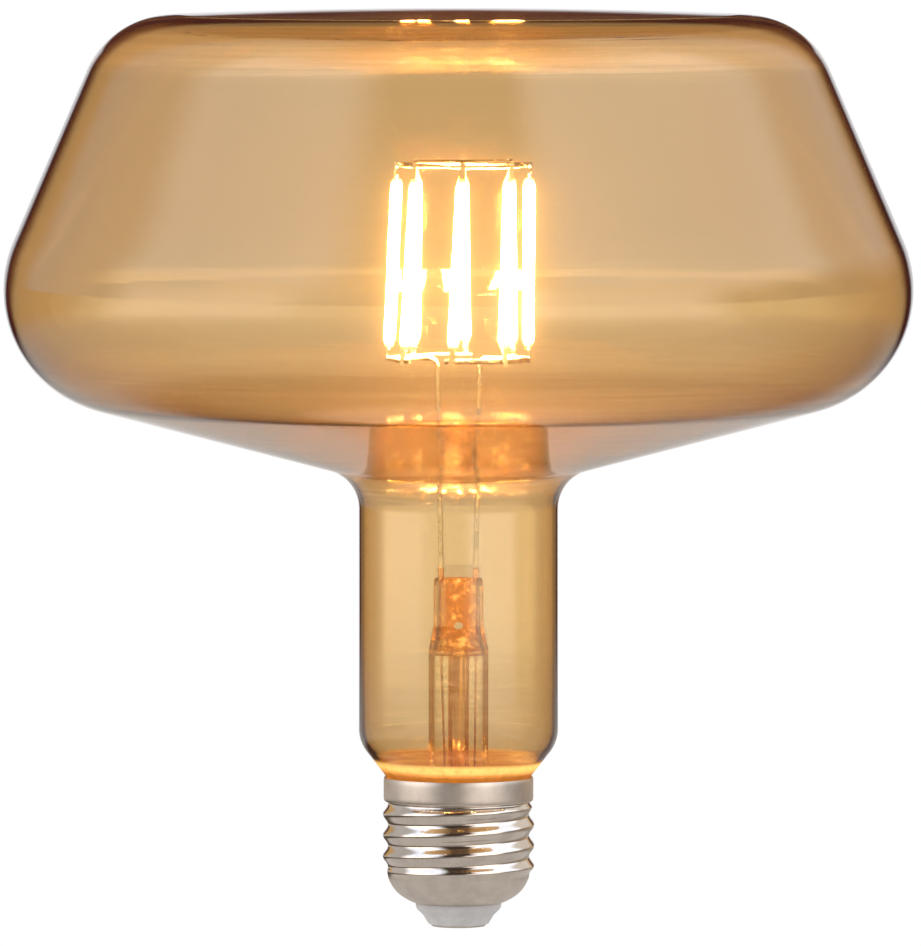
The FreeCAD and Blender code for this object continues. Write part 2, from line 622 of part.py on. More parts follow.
def make_exhaust_tube():
    """The tube that the bulb was emptied through, sealed at its lower tip."""
    outside = "exhaust_diameter / 2"
    inside = "exhaust_bore / 2"
    body = turned_body("exhaust_tube", [
        ("mouth", outside, PRESS_FLOOR, None),
        ("mouth_bore", inside, PRESS_FLOOR, None),
        ("bore_end", inside, EXHAUST_TIP + " + exhaust_seal", None),
        ("bore_tip", "0", EXHAUST_TIP + " + exhaust_seal / 2", None),
        ("tip", "0", EXHAUST_TIP, None),
        ("tip_side", "exhaust_tip_diameter / 2", EXHAUST_TIP, "exhaust_tip_round"),
        ("tube_end", outside, EXHAUST_TIP + " + exhaust_seal", None),
    ])
    finish(body, "exhaust_tube")


def make_seal_wires():
    """The two wires through the press, each with the thick weld that its support wire stands on."""
    for side, place in (("left", "-wire_spacing / 2"), ("right", "wire_spacing / 2")):
        label = "seal_wire_" + side
        body = turned_body(label, [
            ("foot", "0", SEAL_WIRE_FOOT, None),
            ("foot_side", "seal_wire_diameter / 2", SEAL_WIRE_FOOT, None),
            ("weld_step", "seal_wire_diameter / 2", WELD_START, None),
            ("weld_side", "weld_diameter / 2", WELD_START, None),
            ("weld_top_side", "weld_diameter / 2", WELD_TOP, "weld_round"),
            ("weld_middle", "0", WELD_TOP, None),
        ])
        bind(body, "Placement.Base.x", place)
        finish(body, label)


def draw_wire(sketch, spots, bends):
    """A wire's middle line as straight runs joined by bends, from (name, across, up) spots."""
    places = [FreeCAD.Vector(size(across), size(up), 0) for name, across, up in spots]
    last = len(places) - 1
    starts = [places[0]]
    ends = []
    arcs = []
    for index in range(1, last):
        back = (places[index - 1] - places[index]).normalize()
        ahead = (places[index + 1] - places[index]).normalize()
        half = back.getAngle(ahead) / 2
        radius = size(bends[index - 1])
        entry = places[index] + back * (radius / math.tan(half))
        leave = places[index] + ahead * (radius / math.tan(half))
        middle = (back + ahead).normalize()
        on_arc = places[index] + middle * (radius / math.sin(half) - radius)
        ends.append(entry)
        starts.append(leave)
        arcs.append((entry, on_arc, leave, back.cross(ahead).z < 0))
    ends.append(places[last])
    lines = [sketch.addGeometry(Part.LineSegment(*pair), False) for pair in zip(starts, ends)]
    for index, (entry, on_arc, leave, turns_left) in enumerate(arcs):
        name, across, up = spots[index + 1]
        arc = sketch.addGeometry(Part.Arc(entry, on_arc, leave), False)
        near, far = (START, END) if turns_left else (END, START)
        sketch.addConstraint(Sketcher.Constraint("Tangent", lines[index], END, arc, near))
        sketch.addConstraint(Sketcher.Constraint("Tangent", lines[index + 1], START, arc, far))
        hold(sketch, "Radius", name + "_bend", bends[index], arc)
        corner = sketch.addGeometry(Part.Point(places[index + 1]), True)
        sketch.addConstraint(Sketcher.Constraint("PointOnObject", corner, START, lines[index]))
        sketch.addConstraint(Sketcher.Constraint("PointOnObject", corner, START, lines[index + 1]))
        hold_point(sketch, name, across, up, corner, START)
    hold_point(sketch, spots[0][0], spots[0][1], spots[0][2], lines[0], START)
    hold_point(sketch, spots[last][0], spots[last][1], spots[last][2], lines[-1], END)


def make_wire(label, spots, bends, diameter, turned=0):
    """Sweep a round wire up its route, which starts upright, then turn it round the bulb's axis."""
    body = new_body(label)
    route = new_sketch(body, label + "_route")
    draw_wire(route, spots, bends)
    name, across, up = spots[0]
    section = new_sketch(body, label + "_end", "XY_Plane", up)
    draw_circle(section, "wire", across, "0", diameter + " / 2")
    wire = body.newObject("PartDesign::AdditivePipe", label + "_drawn")
    wire.Profile = section
    wire.Spine = (route, [])
    doc.recompute()
    body.Placement = at_angle(turned, 0, 0)
    finish(body, label)


def make_support_wires():
    """Each support wire rises from its weld, spreads a little and bends out to its lower arc."""
    foot = "wire_spacing / 2"
    rise = LOWER_RING + " - " + WELD_TOP
    spread = "wire_spacing / 2 + (%s) * tan(support_lean)" % rise
    reach = "lower_ring_radius - support_diameter / 2 - weld_gap"
    spots = [("foot", foot, WELD_TOP), ("knee", spread, LOWER_RING)]
    spots.append(("tip", reach, LOWER_RING))
    for side, turned in (("left", 180), ("right", 0)):
        make_wire("support_wire_" + side, spots, ["support_bend"], "support_diameter", turned)


def make_outer_leads():
    """The thin leads from the seal wires down past the exhaust tube to the driver board."""
    landing = BOARD_TOP + " + weld_gap"
    bends = ["lead_bend", "lead_foot_bend"]
    for side, turned in (("left", 180), ("right", 0)):
        knee = "exhaust_diameter / 2 + lead_diameter / 2 + %s_lead_gap" % side
        spots = [("top", "wire_spacing / 2", SEAL_WIRE_FOOT)]
        spots.append(("knee_high", knee, BOARD_TOP + " + lead_knee_high"))
        spots.append(("knee_low", "lead_landing", BOARD_TOP + " + lead_knee_low"))
        spots.append(("foot", "lead_landing", landing))
        make_wire("outer_lead_" + side, spots, bends, "lead_diameter", turned)


def make_rings():
    """The closed upper ring, and the two lower arcs that keep the halves of the cage apart."""
    ring = doc.addObject("Part::Torus", "top_ring")
    bind(ring, "Radius1", "upper_ring_radius")
    bind(ring, "Radius2", "support_diameter / 2")
    bind(ring, "Placement.Base.x", "cage_lean")
    bind(ring, "Placement.Base.z", UPPER_RING)
    finish(ring, "top_ring")
    step = "360 / filament_count"
    for side, first in (("left", "2 * " + step), ("right", "-2 * " + step)):
        label = "bottom_arc_" + side
        body = new_body(label)
        section = new_sketch(body, label + "_section")
        draw_circle(section, "wire", "lower_ring_radius", LOWER_RING, "support_diameter / 2")
        spin(body, label + "_bent", section, degrees="(filament_count / 2 - 1) * %s + 2 * arc_tail" % step)
        body.Placement = at_angle(size("%s - cage_twist - arc_tail" % first), 0, 0)
        finish(body, label)


def filament_place(number):
    """Where a filament stands: its middle, with its own Z up along it and its own X outwards."""
    angle = 360 / size("filament_count") * (number - 1)
    stand_off = size("support_diameter / 2 + weld_gap - strip_thickness / 2")
    low = at_angle(angle - size("cage_twist"), size("lower_ring_radius") + stand_off, 0).Base
    high = at_angle(angle, size("upper_ring_radius") + stand_off, 0).Base
    low += FreeCAD.Vector(0, 0, size(LOWER_RING))
    high += FreeCAD.Vector(size("cage_lean"), 0, size(UPPER_RING))
    upwards = (high - low).normalize()
    outwards = at_angle(angle - size("cage_twist / 2"), 1, 0).Base
    outwards = (outwards - upwards * outwards.dot(upwards)).normalize()
    sideways = upwards.cross(outwards)
    turn = FreeCAD.Rotation(outwards, sideways, upwards, "ZXY")
    return FreeCAD.Placement((low + high) / 2, turn)


def make_filament(number):
    """One filament: its ceramic strip, the metal tabs on its ends, and the glowing coat round both."""
    place = filament_place(number)
    half_strip = "strip_thickness / 2"
    tab_start = "coat_length / 2 - tab_lap"
    tab_stop = "coat_length / 2 + coat_margin + tab_tail"

    strip = new_body("filament_strip_%d" % number)
    section = new_sketch(strip, "strip_section_%d" % number)
    low = "-coat_length / 2 - strip_overhang"
    draw_rectangle(section, "strip", "-" + half_strip, half_strip, low, "coat_length / 2 + strip_overhang")
    pad(strip, "strip_cut_%d" % number, section, "strip_width", midplane=True)

    tabs = new_body("filament_tabs_%d" % number)
    tab_section = new_sketch(tabs, "tab_section_%d" % number)
    tab_outside = half_strip + " + tab_thickness"
    draw_rectangle(tab_section, "tab", half_strip, tab_outside, tab_start, tab_stop)
    pad(tabs, "tab_stamped_%d" % number, tab_section, "tab_width", midplane=True)
    other = tabs.newObject("PartDesign::Mirrored", "tab_other_end_%d" % number)
    other.Originals = [tabs.Tip]
    other.MirrorPlane = (origin_part(tabs, "XY_Plane"), [""])
    tabs.Tip = other
    doc.recompute()

    coat = new_body("filament_coat_%d" % number)
    profile = new_sketch(coat, "coat_section_%d" % number)
    draw_outline(profile, [
        ("low_middle", "0", "-coat_length / 2", None),
        ("low_tip", "coat_tip_diameter / 2", "-coat_length / 2", None),
        ("low_side", "coat_diameter / 2", "coat_taper - coat_length / 2", None),
        ("high_side", "coat_diameter / 2", "coat_length / 2 - coat_taper", None),
        ("high_tip", "coat_tip_diameter / 2", "coat_length / 2", None),
        ("high_middle", "0", "coat_length / 2", None),
    ])
    spin(coat, "coat_moulded_%d" % number, profile)
    strip_slot = new_sketch(coat, "strip_slot_%d" % number)
    draw_rectangle(strip_slot, "strip", "-" + half_strip, half_strip, low, "coat_length / 2 + strip_overhang")
    pocket(coat, "strip_room_%d" % number, strip_slot, "strip_width", midplane=True)
    for end, start, stop in (
        ("high", tab_start, "coat_length / 2"),
        ("low", "-coat_length / 2", "tab_lap - coat_length / 2"),
    ):
        tab_slot = new_sketch(coat, "tab_slot_%s_%d" % (end, number))
        draw_rectangle(tab_slot, "tab", half_strip, tab_outside, start, stop)
        pocket(coat, "tab_room_%s_%d" % (end, number), tab_slot, "tab_width", midplane=True)

    for body in (strip, tabs, coat):
        body.Placement = place
        finish(body, body.Label)


def fading(height, start, length):
    """A smooth rise from 0 to 1 over a length."""
    share = min(1.0, max(0.0, (height - start) / length))
    return share * share * (3 - 2 * share)


def shell_profile():
    """Half section of the shell without its thread: (radius, height) from its lower edge to its rim."""
    foot = size("shell_foot_diameter / 2")
    low = size("shell_foot_height")
    cone_top = size(CONE_TOP)
    root = size("thread_diameter / 2 - thread_depth")
    collar = size(COLLAR_RADIUS)
    start = size(COLLAR_START)
    top = size(SHELL_TOP)
    step = size("thread_pitch") / NET_ROWS_PER_TURN
    cone = []
    for share in CONE_ROWS:
        bulge = math.sin(math.pi * share) * size("shell_cone_bulge")
        across = foot + (root - foot) * share + bulge
        cone.append((across, low + (cone_top - low) * share - bulge))
    rows = max(2, round((start - cone_top) / step))
    threaded = [(root, cone_top + (start - cone_top) * row / rows) for row in range(rows + 1)]
    edge = size("collar_edge")
    neck = [(collar - edge / 2, start), (collar, start + edge / 2), (collar, start + edge * 2)]
    rim = [(collar, top - size("rim_height")), (collar, top - size("rim_height") / 2)]
    rim.append((collar - size("rim_roll"), top))
    return cone + threaded + neck + rim


def inset_profile(profile, depth):
    """The same section moved in by the sheet's thickness, with its two ends kept at their heights."""
    inner = []
    last = len(profile) - 1
    for index, (across, up) in enumerate(profile):
        if index in (0, last):
            inner.append((across - depth, up))
            continue
        spread = profile[index + 1][0] - profile[index - 1][0]
        climb = profile[index + 1][1] - profile[index - 1][1]
        run = math.hypot(spread, climb)
        inner.append((across - depth * climb / run, up + depth * spread / run))
    return inner


def rolled_face(depth):
    """One side of the rolled sheet: the plain profile with a right-hand rounded thread raised on it."""
    pitch = size("thread_pitch")
    half_wave = size("thread_depth / 2")
    start = size(CONE_TOP + " + thread_wait")
    stop = size(COLLAR_START)
    profile = shell_profile()
    if depth:
        profile = inset_profile(profile, depth)
    # A smooth surface lies inside its net, so the net stands out a little further than the shell
    spread = 3 / (2 + math.cos(2 * math.pi / NET_COLUMNS))
    swing = spread * 3 / (2 + math.cos(2 * math.pi / NET_ROWS_PER_TURN))
    net = []
    for column in range(NET_COLUMNS):
        turn = column / NET_COLUMNS
        angle = 2 * math.pi * turn
        line = []
        for across, up in profile:
            raised = fading(up, start, size("thread_run_in"))
            raised *= fading(-up, -stop, size("thread_run_out"))
            wave = math.cos(2 * math.pi * ((up - size("thread_phase")) / pitch - turn))
            radius = (across + raised * half_wave * (1 + swing * wave)) * spread
            line.append(FreeCAD.Vector(radius * math.cos(angle), radius * math.sin(angle), up))
        net.append(line)
    rows = len(profile)
    surface = Part.BSplineSurface()
    round_knots = list(range(NET_COLUMNS + 1))
    upright_knots = list(range(rows - 2))
    round_counts = [1] * len(round_knots)
    upright_counts = [4] + [1] * (rows - 4) + [4]
    surface.buildFromPolesMultsKnots(
        net, round_counts, upright_counts, round_knots, upright_knots, True, False, 3, 3
    )
    return surface.toShape()


def level_edges(face):
    """The face's lower and upper edges, each a closed ring."""
    rings = [edge for edge in face.Edges if edge.BoundBox.ZLength < 1e-6]
    rings.sort(key=lambda edge: edge.BoundBox.ZMin)
    return rings[0], rings[-1]


def make_screw_shell():
    """The screw shell, rolled from thin sheet, so the thread shows inside as well as outside."""
    outside = rolled_face(0)
    inside = rolled_face(size("shell_sheet"))
    faces = [outside, inside]
    for outer_edge, inner_edge in zip(level_edges(outside), level_edges(inside)):
        disc = Part.Face(Part.Wire([outer_edge]))
        faces.append(disc.cut(Part.Face(Part.Wire([inner_edge]))).Faces[0])
    skin = Part.makeShell(faces)
    skin.sewShape()
    solid = Part.Solid(skin)
    if solid.Volume < 0:
        solid.reverse()
    shell = doc.addObject("Part::Feature", "screw_shell")
    shell.Shape = solid
    shell.Placement = FreeCAD.Placement()
    finish(shell, "screw_shell")


def make_cap_cement():
    """The cement ring between the glass skirt and the collar."""
    outside = COLLAR_RADIUS + " - shell_sheet - fit_gap"
    finish(turned_body("cap_cement", [
        ("inner_low", SKIRT_RADIUS, SKIRT_END, None),
        ("outer_low", outside, SKIRT_END, None),
        ("outer_high", outside, SHELL_TOP + " - cement_depth", None),
        ("inner_high", SKIRT_RADIUS, SHELL_TOP + " - cement_depth", None),
    ]), "cap_cement")


def make_cap_insulator():
    """The moulded insulator that closes the shell's foot round the centre contact."""
    plug = "shell_foot_diameter / 2 - shell_sheet - fit_gap"
    pin_hole = "contact_pin_diameter / 2 + fit_gap"
    widening = "shell_foot_diameter / 2 - insulator_waist_diameter / 2"
    waist = "shell_foot_height - insulator_waist_drop"
    finish(turned_body("cap_insulator", [
        ("pin_hole_low", pin_hole, "contact_thickness", None),
        ("foot", "insulator_foot_diameter / 2", "contact_thickness", "insulator_foot_edge"),
        ("waist", "insulator_waist_diameter / 2", waist, "insulator_waist_curve"),
        ("shell_side", "shell_foot_diameter / 2", waist + " + " + widening, widening),
        ("shell_edge", "shell_foot_diameter / 2", "shell_foot_height", None),
        ("plug_low", plug, "shell_foot_height", None),
        ("plug_high", plug, INSULATOR_TOP, None),
        ("pin_hole_high", pin_hole, INSULATOR_TOP, None),
    ]), "cap_insulator")


def make_centre_contact():
    """The contact disc and the pin that holds it in the insulator."""
    finish(turned_body("centre_contact", [
        ("face_middle", "0", "0", None),
        ("face", "contact_diameter / 2", "0", "contact_thickness / 2"),
        ("disc_edge", "contact_diameter / 2", "contact_thickness", None),
        ("pin_root", "contact_pin_diameter / 2", "contact_thickness", None),
        ("pin_side", "contact_pin_diameter / 2", PIN_TOP, "contact_pin_edge"),
        ("pin_end", "0", PIN_TOP, None),
    ]), "centre_contact")


def make_driver_board():
    """The round board that carries the driver, a close fit inside the thread's root."""
    body = new_body("driver_board")
    disc = new_sketch(body, "board_outline", "XY_Plane", BOARD_FLOOR)
    draw_circle(disc, "board", "0", "0", CLEAR_RADIUS + " - board_margin")
    pad(body, "board_cut", disc, "board_thickness")
    finish(body, "driver_board")


def make_smoothing_capacitor():
    """The can, with the groove rolled in above its rubber seal."""
    radius = "capacitor_diameter / 2"
    bottom = radius + " - capacitor_groove"
    top = BOARD_TOP + " + capacitor_height"
    body = turned_body("smoothing_capacitor", [
        ("base_middle", "0", BOARD_TOP, None),
        ("base", radius, BOARD_TOP, "capacitor_edge"),
        ("groove_low", radius, BOARD_TOP + " + 2 * capacitor_groove", None),
        ("groove_bottom", bottom, BOARD_TOP + " + 3 * capacitor_groove", "capacitor_groove / 2"),
        ("groove_high", radius, BOARD_TOP + " + 4 * capacitor_groove", None),
        ("top", radius, top, "capacitor_edge"),
        ("top_middle", "0", top, None),
    ])
    bind(body, "Placement.Base.y", "capacitor_offset")
    finish(body, "smoothing_capacitor")


def make_legged_package(name, length, width, height, place):
    """A moulded package with a row of flat legs along each long side. Its underside is at Z = 0."""
    body = new_body(name)
    outline = new_sketch(body, name + "_outline", "XY_Plane")
    half_length = length + " / 2"
    half_width = width + " / 2"
    draw_rectangle(outline, "package", "-" + half_length, half_length, "-" + half_width, half_width)
    block = pad(body, name + "_moulded", outline, height)
    bevel = body.newObject("PartDesign::Chamfer", name + "_bevel")
    bevel.Base = (block, top_edges(block.Shape))
    bind(bevel, "Size", "package_bevel")
    doc.recompute()
    reach = half_width + " + leg_reach"
    leg = new_sketch(body, name + "_leg", "XY_Plane")
    count = round(size(LEGS[name]))
    for number in range(count):
        middle = "%s * %s" % (length, (number + 0.5) / count - 0.5)
        left = middle + " - leg_width / 2"
        right = middle + " + leg_width / 2"
        draw_rectangle(leg, "leg_%d" % number, left, right, "-(%s)" % reach, reach)
    pad(body, name + "_legs", leg, "leg_thickness")
    body.Placement = place
    finish(body, name)


def make_packages():
    """The rectifier on top of the board, and the driver chip upside down under it."""
    spot = FreeCAD.Vector(0, -size("rectifier_offset"), size(BOARD_TOP))
    place = FreeCAD.Placement(spot, FreeCAD.Rotation())
    make_legged_package("bridge_rectifier", "rectifier_length", "rectifier_width", "rectifier_height", place)
    over = FreeCAD.Rotation(FreeCAD.Vector(1, 0, 0), 180)
    quarter = FreeCAD.Rotation(FreeCAD.Vector(0, 0, 1), 90)
    spot = FreeCAD.Vector(-size("chip_offset"), 0, size(BOARD_FLOOR))
    place = FreeCAD.Placement(spot, over * quarter)
    make_legged_package("driver_chip", "chip_length", "chip_width", "chip_height", place)


def make_inductor():
    """The drum core under the board, its winding between two flanges."""
    rim = "inductor_diameter / 2"
    winding = "inductor_winding / 2"
    under = BOARD_FLOOR + " - inductor_height"
    body = turned_body("inductor", [
        ("low_middle", "0", under, None),
        ("low_rim", rim, under, "inductor_edge"),
        ("low_flange", rim, under + " + inductor_flange", None),
        ("winding_low", winding, under + " + inductor_flange", None),
        ("winding_high", winding, BOARD_FLOOR + " - inductor_flange", None),
        ("high_flange", rim, BOARD_FLOOR + " - inductor_flange", None),
        ("high_rim", rim, BOARD_FLOOR, "inductor_edge"),
        ("high_middle", "0", BOARD_FLOOR, None),
    ])
    bind(body, "Placement.Base.x", "inductor_offset")
    finish(body, "inductor")


def make_fuse_resistor():
    """The fuse resistor, which lies along X under the board."""
    barrel = "fuse_barrel / 2"
    end = "fuse_length / 2"
    body = turned_body("fuse_resistor", [
        ("low_middle", "0", "-" + end, None),
        ("low_cap", "fuse_diameter / 2", "-" + end, "fuse_edge"),
        ("low_step", "fuse_diameter / 2", "fuse_end - " + end, None),
        ("barrel_low", barrel, "fuse_end - " + end, None),
        ("barrel_high", barrel, end + " - fuse_end", None),
        ("high_step", "fuse_diameter / 2", end + " - fuse_end", None),
        ("high_cap", "fuse_diameter / 2", end, "fuse_edge"),
        ("high_middle", "0", end, None),
    ])
    spot = FreeCAD.Vector(0, -size("fuse_offset"), size(BOARD_FLOOR + " - fuse_diameter / 2 - fit_gap"))
    body.Placement = FreeCAD.Placement(spot, FreeCAD.Rotation(FreeCAD.Vector(0, 1, 0), 90))
    finish(body, "fuse_resistor")


def make_cap_leads():
    """The lead from the board to the centre pin, and the one that springs out to the shell."""
    body = new_body("contact_lead")
    section = new_sketch(body, "contact_lead_end", "XY_Plane", PIN_TOP)
    draw_circle(section, "wire", "0", "0", "cap_lead_diameter / 2")
    pad(body, "contact_lead_drawn", section, BOARD_FLOOR + " - " + PIN_TOP)
    finish(body, "contact_lead")
    wall = CLEAR_RADIUS + " - cap_lead_diameter / 2 - fit_gap"
    foot = CLEAR_RADIUS + " - shell_lead_inset"
    spots = [("foot", foot, BOARD_TOP)]
    spots.append(("knee_low", foot, BOARD_TOP + " + shell_lead_rise / 2"))
    spots.append(("knee_high", wall, BOARD_TOP + " + shell_lead_rise * 3 / 2"))
    spots.append(("tip", wall, COLLAR_START + " - shell_lead_stop"))
    bends = ["cap_lead_bend", "cap_lead_bend"]
    make_wire("shell_lead", spots, bends, "cap_lead_diameter", size("shell_lead_angle"))


def check_document():
    """Stop if any object of the document failed or any sub-part is not one sound solid or more."""
    for item in doc.Objects:
        if "Invalid" in item.State or "Error" in item.State:
            raise RuntimeError("%s is %s" % (item.Name, item.State))
    for item in finished:
        shape = item.Shape
        if shape.isNull() or not shape.isValid() or not shape.Solids or shape.Volume <= 0:
            raise RuntimeError(item.Label + " is not a sound solid")


def write_parts():
    """Write each sub-part to a file named by its label."""
    os.makedirs("parts", exist_ok=True)
    for item in finished:
        item.Shape.exportStep("parts/%s.step" % item.Label)


def main():
    fill_sheet()
    make_glass_envelope()
    make_glass_stem()
    make_exhaust_tube()
    make_seal_wires()
    make_support_wires()
    make_outer_leads()
    make_rings()
    for number in range(1, int(size("filament_count")) + 1):
        make_filament(number)
    make_screw_shell()
    make_cap_cement()
    make_cap_insulator()
    make_centre_contact()
    make_driver_board()
    make_smoothing_capacitor()
    make_packages()
    make_inductor()
    make_fuse_resistor()
    make_cap_leads()
    doc.recompute()
    check_document()
    write_parts()
    print("%d sub-parts written" % len(finished))


main()
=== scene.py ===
"""Looks of a wide amber LED filament bulb: finishes, blown glass, weld beads and a plain white studio."""

import json
import logging
import math
import random
from dataclasses import dataclass
from enum import Enum

import bpy
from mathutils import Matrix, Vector, noise

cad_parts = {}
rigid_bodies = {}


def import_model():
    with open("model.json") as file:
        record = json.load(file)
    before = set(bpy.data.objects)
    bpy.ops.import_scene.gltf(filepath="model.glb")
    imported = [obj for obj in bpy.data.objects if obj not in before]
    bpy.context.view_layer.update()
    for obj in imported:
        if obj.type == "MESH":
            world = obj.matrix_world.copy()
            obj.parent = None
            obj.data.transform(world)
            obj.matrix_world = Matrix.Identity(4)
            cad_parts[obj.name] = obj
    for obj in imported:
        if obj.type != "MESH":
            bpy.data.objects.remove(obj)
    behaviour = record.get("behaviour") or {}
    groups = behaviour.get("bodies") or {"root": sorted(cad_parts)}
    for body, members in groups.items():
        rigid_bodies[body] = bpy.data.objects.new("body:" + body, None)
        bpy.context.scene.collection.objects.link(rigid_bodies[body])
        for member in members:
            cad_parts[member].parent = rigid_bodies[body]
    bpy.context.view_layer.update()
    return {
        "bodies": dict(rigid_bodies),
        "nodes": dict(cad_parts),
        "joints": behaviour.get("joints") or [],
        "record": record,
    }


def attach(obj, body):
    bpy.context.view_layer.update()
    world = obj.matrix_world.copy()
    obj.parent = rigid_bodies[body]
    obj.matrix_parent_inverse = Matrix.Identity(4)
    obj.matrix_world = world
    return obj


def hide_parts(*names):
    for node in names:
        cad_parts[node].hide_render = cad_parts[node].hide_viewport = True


LOG = logging.getLogger("filament_bulb")
MM = 0.001
BLACK = (0.0, 0.0, 0.0)
WHITE = (1.0, 1.0, 1.0)
Pair = tuple[float, float]
Colour = tuple[float, float, float]
Socket = bpy.types.NodeSocket
Node = bpy.types.Node


class Count(Enum):
    """What a ray of light has met on its way, as the studio asks."""

    REFLECTIONS = "Glossy Depth"
    REFRACTIONS = "Transmission Depth"


class Side(Enum):
    """The two sides of the studio, as the photograph shows them."""

    LEFT = -1
    RIGHT = 1


class Graph:
    """A node tree with short calls that add and join nodes."""

    def __init__(self, tree: bpy.types.NodeTree) -> None:
        """Start an empty graph.

        Args:
            tree: the node tree of a material or a world, whose nodes are cleared.
        """
        self.tree = tree
        self.tree.nodes.clear()

    def add(self, kind: str, **settings: object) -> Node:
        """Add a node.

        Args:
            kind: the node's type without its ShaderNode prefix.
            settings: properties of the node, such as a math node's operation.

        Returns:
            The new node.
        """
        node = self.tree.nodes.new("ShaderNode" + kind)
        for name, value in settings.items():
            setattr(node, name, value)
        return node

    def feed(self, node: Node, **inputs: object) -> Node:
        """Give a node's inputs a number or another node's output.

        Args:
            node: the node to feed.
            inputs: input name, with _ for a space, or in1 for the second input, and what it gets.

        Returns:
            The same node.
        """
        for name, value in inputs.items():
            if name.startswith("in") and name[2:].isdigit():
                socket = node.inputs[int(name[2:])]
            else:
                socket = node.inputs[name.replace("_", " ")]
            if isinstance(value, Socket):
                self.tree.links.new(value, socket)
            else:
                socket.default_value = value
        return node

    def height(self, place: object) -> Socket:
        """How far a point lies above the contact's face, in metres."""
        return self.feed(self.add("SeparateXYZ"), in0=place).outputs[2]

    def math(self, operation: str, *values: object, clamp: bool = False) -> Socket:
        """Work out a number.

        Args:
            operation: the math node's operation.
            values: numbers or outputs, one for each input in use.
            clamp: keep the result between 0 and 1.

        Returns:
            The result's output.
        """
        node = self.add("Math", operation=operation, use_clamp=clamp)
        self.feed(node, **{"in%d" % index: value for index, value in enumerate(values)})
        return node.outputs[0]

    def spread(self, value: object, low: float, high: float, to_low: float, to_high: float) -> Socket:
        """Map a number smoothly from one range to another.

        Args:
            value: the output to map.
            low: what gives to_low.
            high: what gives to_high.
            to_low: the result at low.
            to_high: the result at high.

        Returns:
            The mapped number's output.
        """
        node = self.add("MapRange", interpolation_type="SMOOTHSTEP")
        self.feed(node, in0=value, in1=low, in2=high, in3=to_low, in4=to_high)
        return node.outputs[0]

    def fade(self, value: object, low: float, high: float) -> Socket:
        """Map a number smoothly to nothing at low and to one at high."""
        return self.spread(value, low, high, 0.0, 1.0)

    def blend(self, factor: object, one: object, other: object) -> Socket:
        """Mix two colours.

        Args:
            factor: the share of the other colour.
            one: the first colour, as three numbers or an output.
            other: the other colour.

        Returns:
            The mixed colour's output.
        """
        node = self.add("Mix", data_type="RGBA")
        tones = [tone if isinstance(tone, Socket) else (*tone, 1.0) for tone in (one, other)]
        self.feed(node, in0=factor, in6=tones[0], in7=tones[1])
        return node.outputs[2]

    def grain(
        self, vector: object, scale: float, detail: float = 2.0, roughness: float = 0.5
    ) -> Socket:
        """Fractal noise.

        Args:
            vector: where to read it.
            scale: how fine it is, per metre.
            detail: the number of finer layers.
            roughness: how strong the finer layers are.

        Returns:
            The noise's output, about 0.5 on average.
        """
        node = self.add("TexNoise")
        self.feed(node, Vector=vector, Scale=scale, Detail=detail, Roughness=roughness)
        return node.outputs["Fac"]

    def place(self) -> Socket:
        """The point on the surface, in metres from the middle of the contact."""
        return self.add("TexCoord").outputs["Object"]

    def zone(self, value: object, span: Pair, soft: float) -> Socket:
        """One inside a span and nothing outside it, with soft edges.

        Args:
            value: the output to test.
            span: the two ends of the span.
            soft: how wide each soft edge is, half of it inside the span.

        Returns:
            The zone's output, from 0 to 1.
        """
        rising = self.fade(value, span[0] - soft / 2, span[0] + soft / 2)
        falling = self.spread(value, span[1] - soft / 2, span[1] + soft / 2, 1.0, 0.0)
        return self.math("MULTIPLY", rising, falling)

    def turned(self, vector: object, round_scale: float, across_scale: float) -> Socket:
        """A place for patterns that run round the bulb's axis, as marks of turning do.

        Args:
            vector: the point on the surface.
            round_scale: how fast the pattern changes round the axis.
            across_scale: how fast it changes outwards and upwards.

        Returns:
            The place's output.
        """
        apart = self.feed(self.add("SeparateXYZ"), in0=vector)
        flat = self.feed(self.add("CombineXYZ"), in0=apart.outputs[0], in1=apart.outputs[1])
        radius = self.add("VectorMath", operation="LENGTH")
        self.feed(radius, in0=flat.outputs[0])
        outward = self.math("MULTIPLY", radius.outputs["Value"], across_scale)
        joined = self.feed(
            self.add("CombineXYZ"),
            in0=self.math("MULTIPLY_ADD", apart.outputs[0], round_scale, outward),
            in1=self.math("MULTIPLY", apart.outputs[1], round_scale),
            in2=self.math("MULTIPLY", apart.outputs[2], across_scale),
        )
        return joined.outputs[0]

    def bump(self, height: object, strength: float, depth: float) -> Socket:
        """A surface's fine relief.

        Args:
            height: the relief's height as an output from 0 to 1.
            strength: how much of it shows.
            depth: what a height of 1 is, in metres.

        Returns:
            The bent normal's output.
        """
        node = self.feed(self.add("Bump"), Height=height, Strength=strength, Distance=depth)
        return node.outputs[0]


@dataclass(frozen=True)
class Finish:
    """What every finish has: a name and a graph that ends in a surface."""

    name: str

    def make(self) -> bpy.types.Material:
        """Make the material.

        Returns:
            The finished material.
        """
        material = bpy.data.materials.new(self.name)
        material.use_nodes = True
        graph = Graph(material.node_tree)
        output = graph.add("OutputMaterial")
        self.draw(graph, output)
        return material

    def draw(self, graph: Graph, output: Node) -> None:
        """Draw the finish's nodes into the output. Each kind of finish has its own."""
        raise NotImplementedError


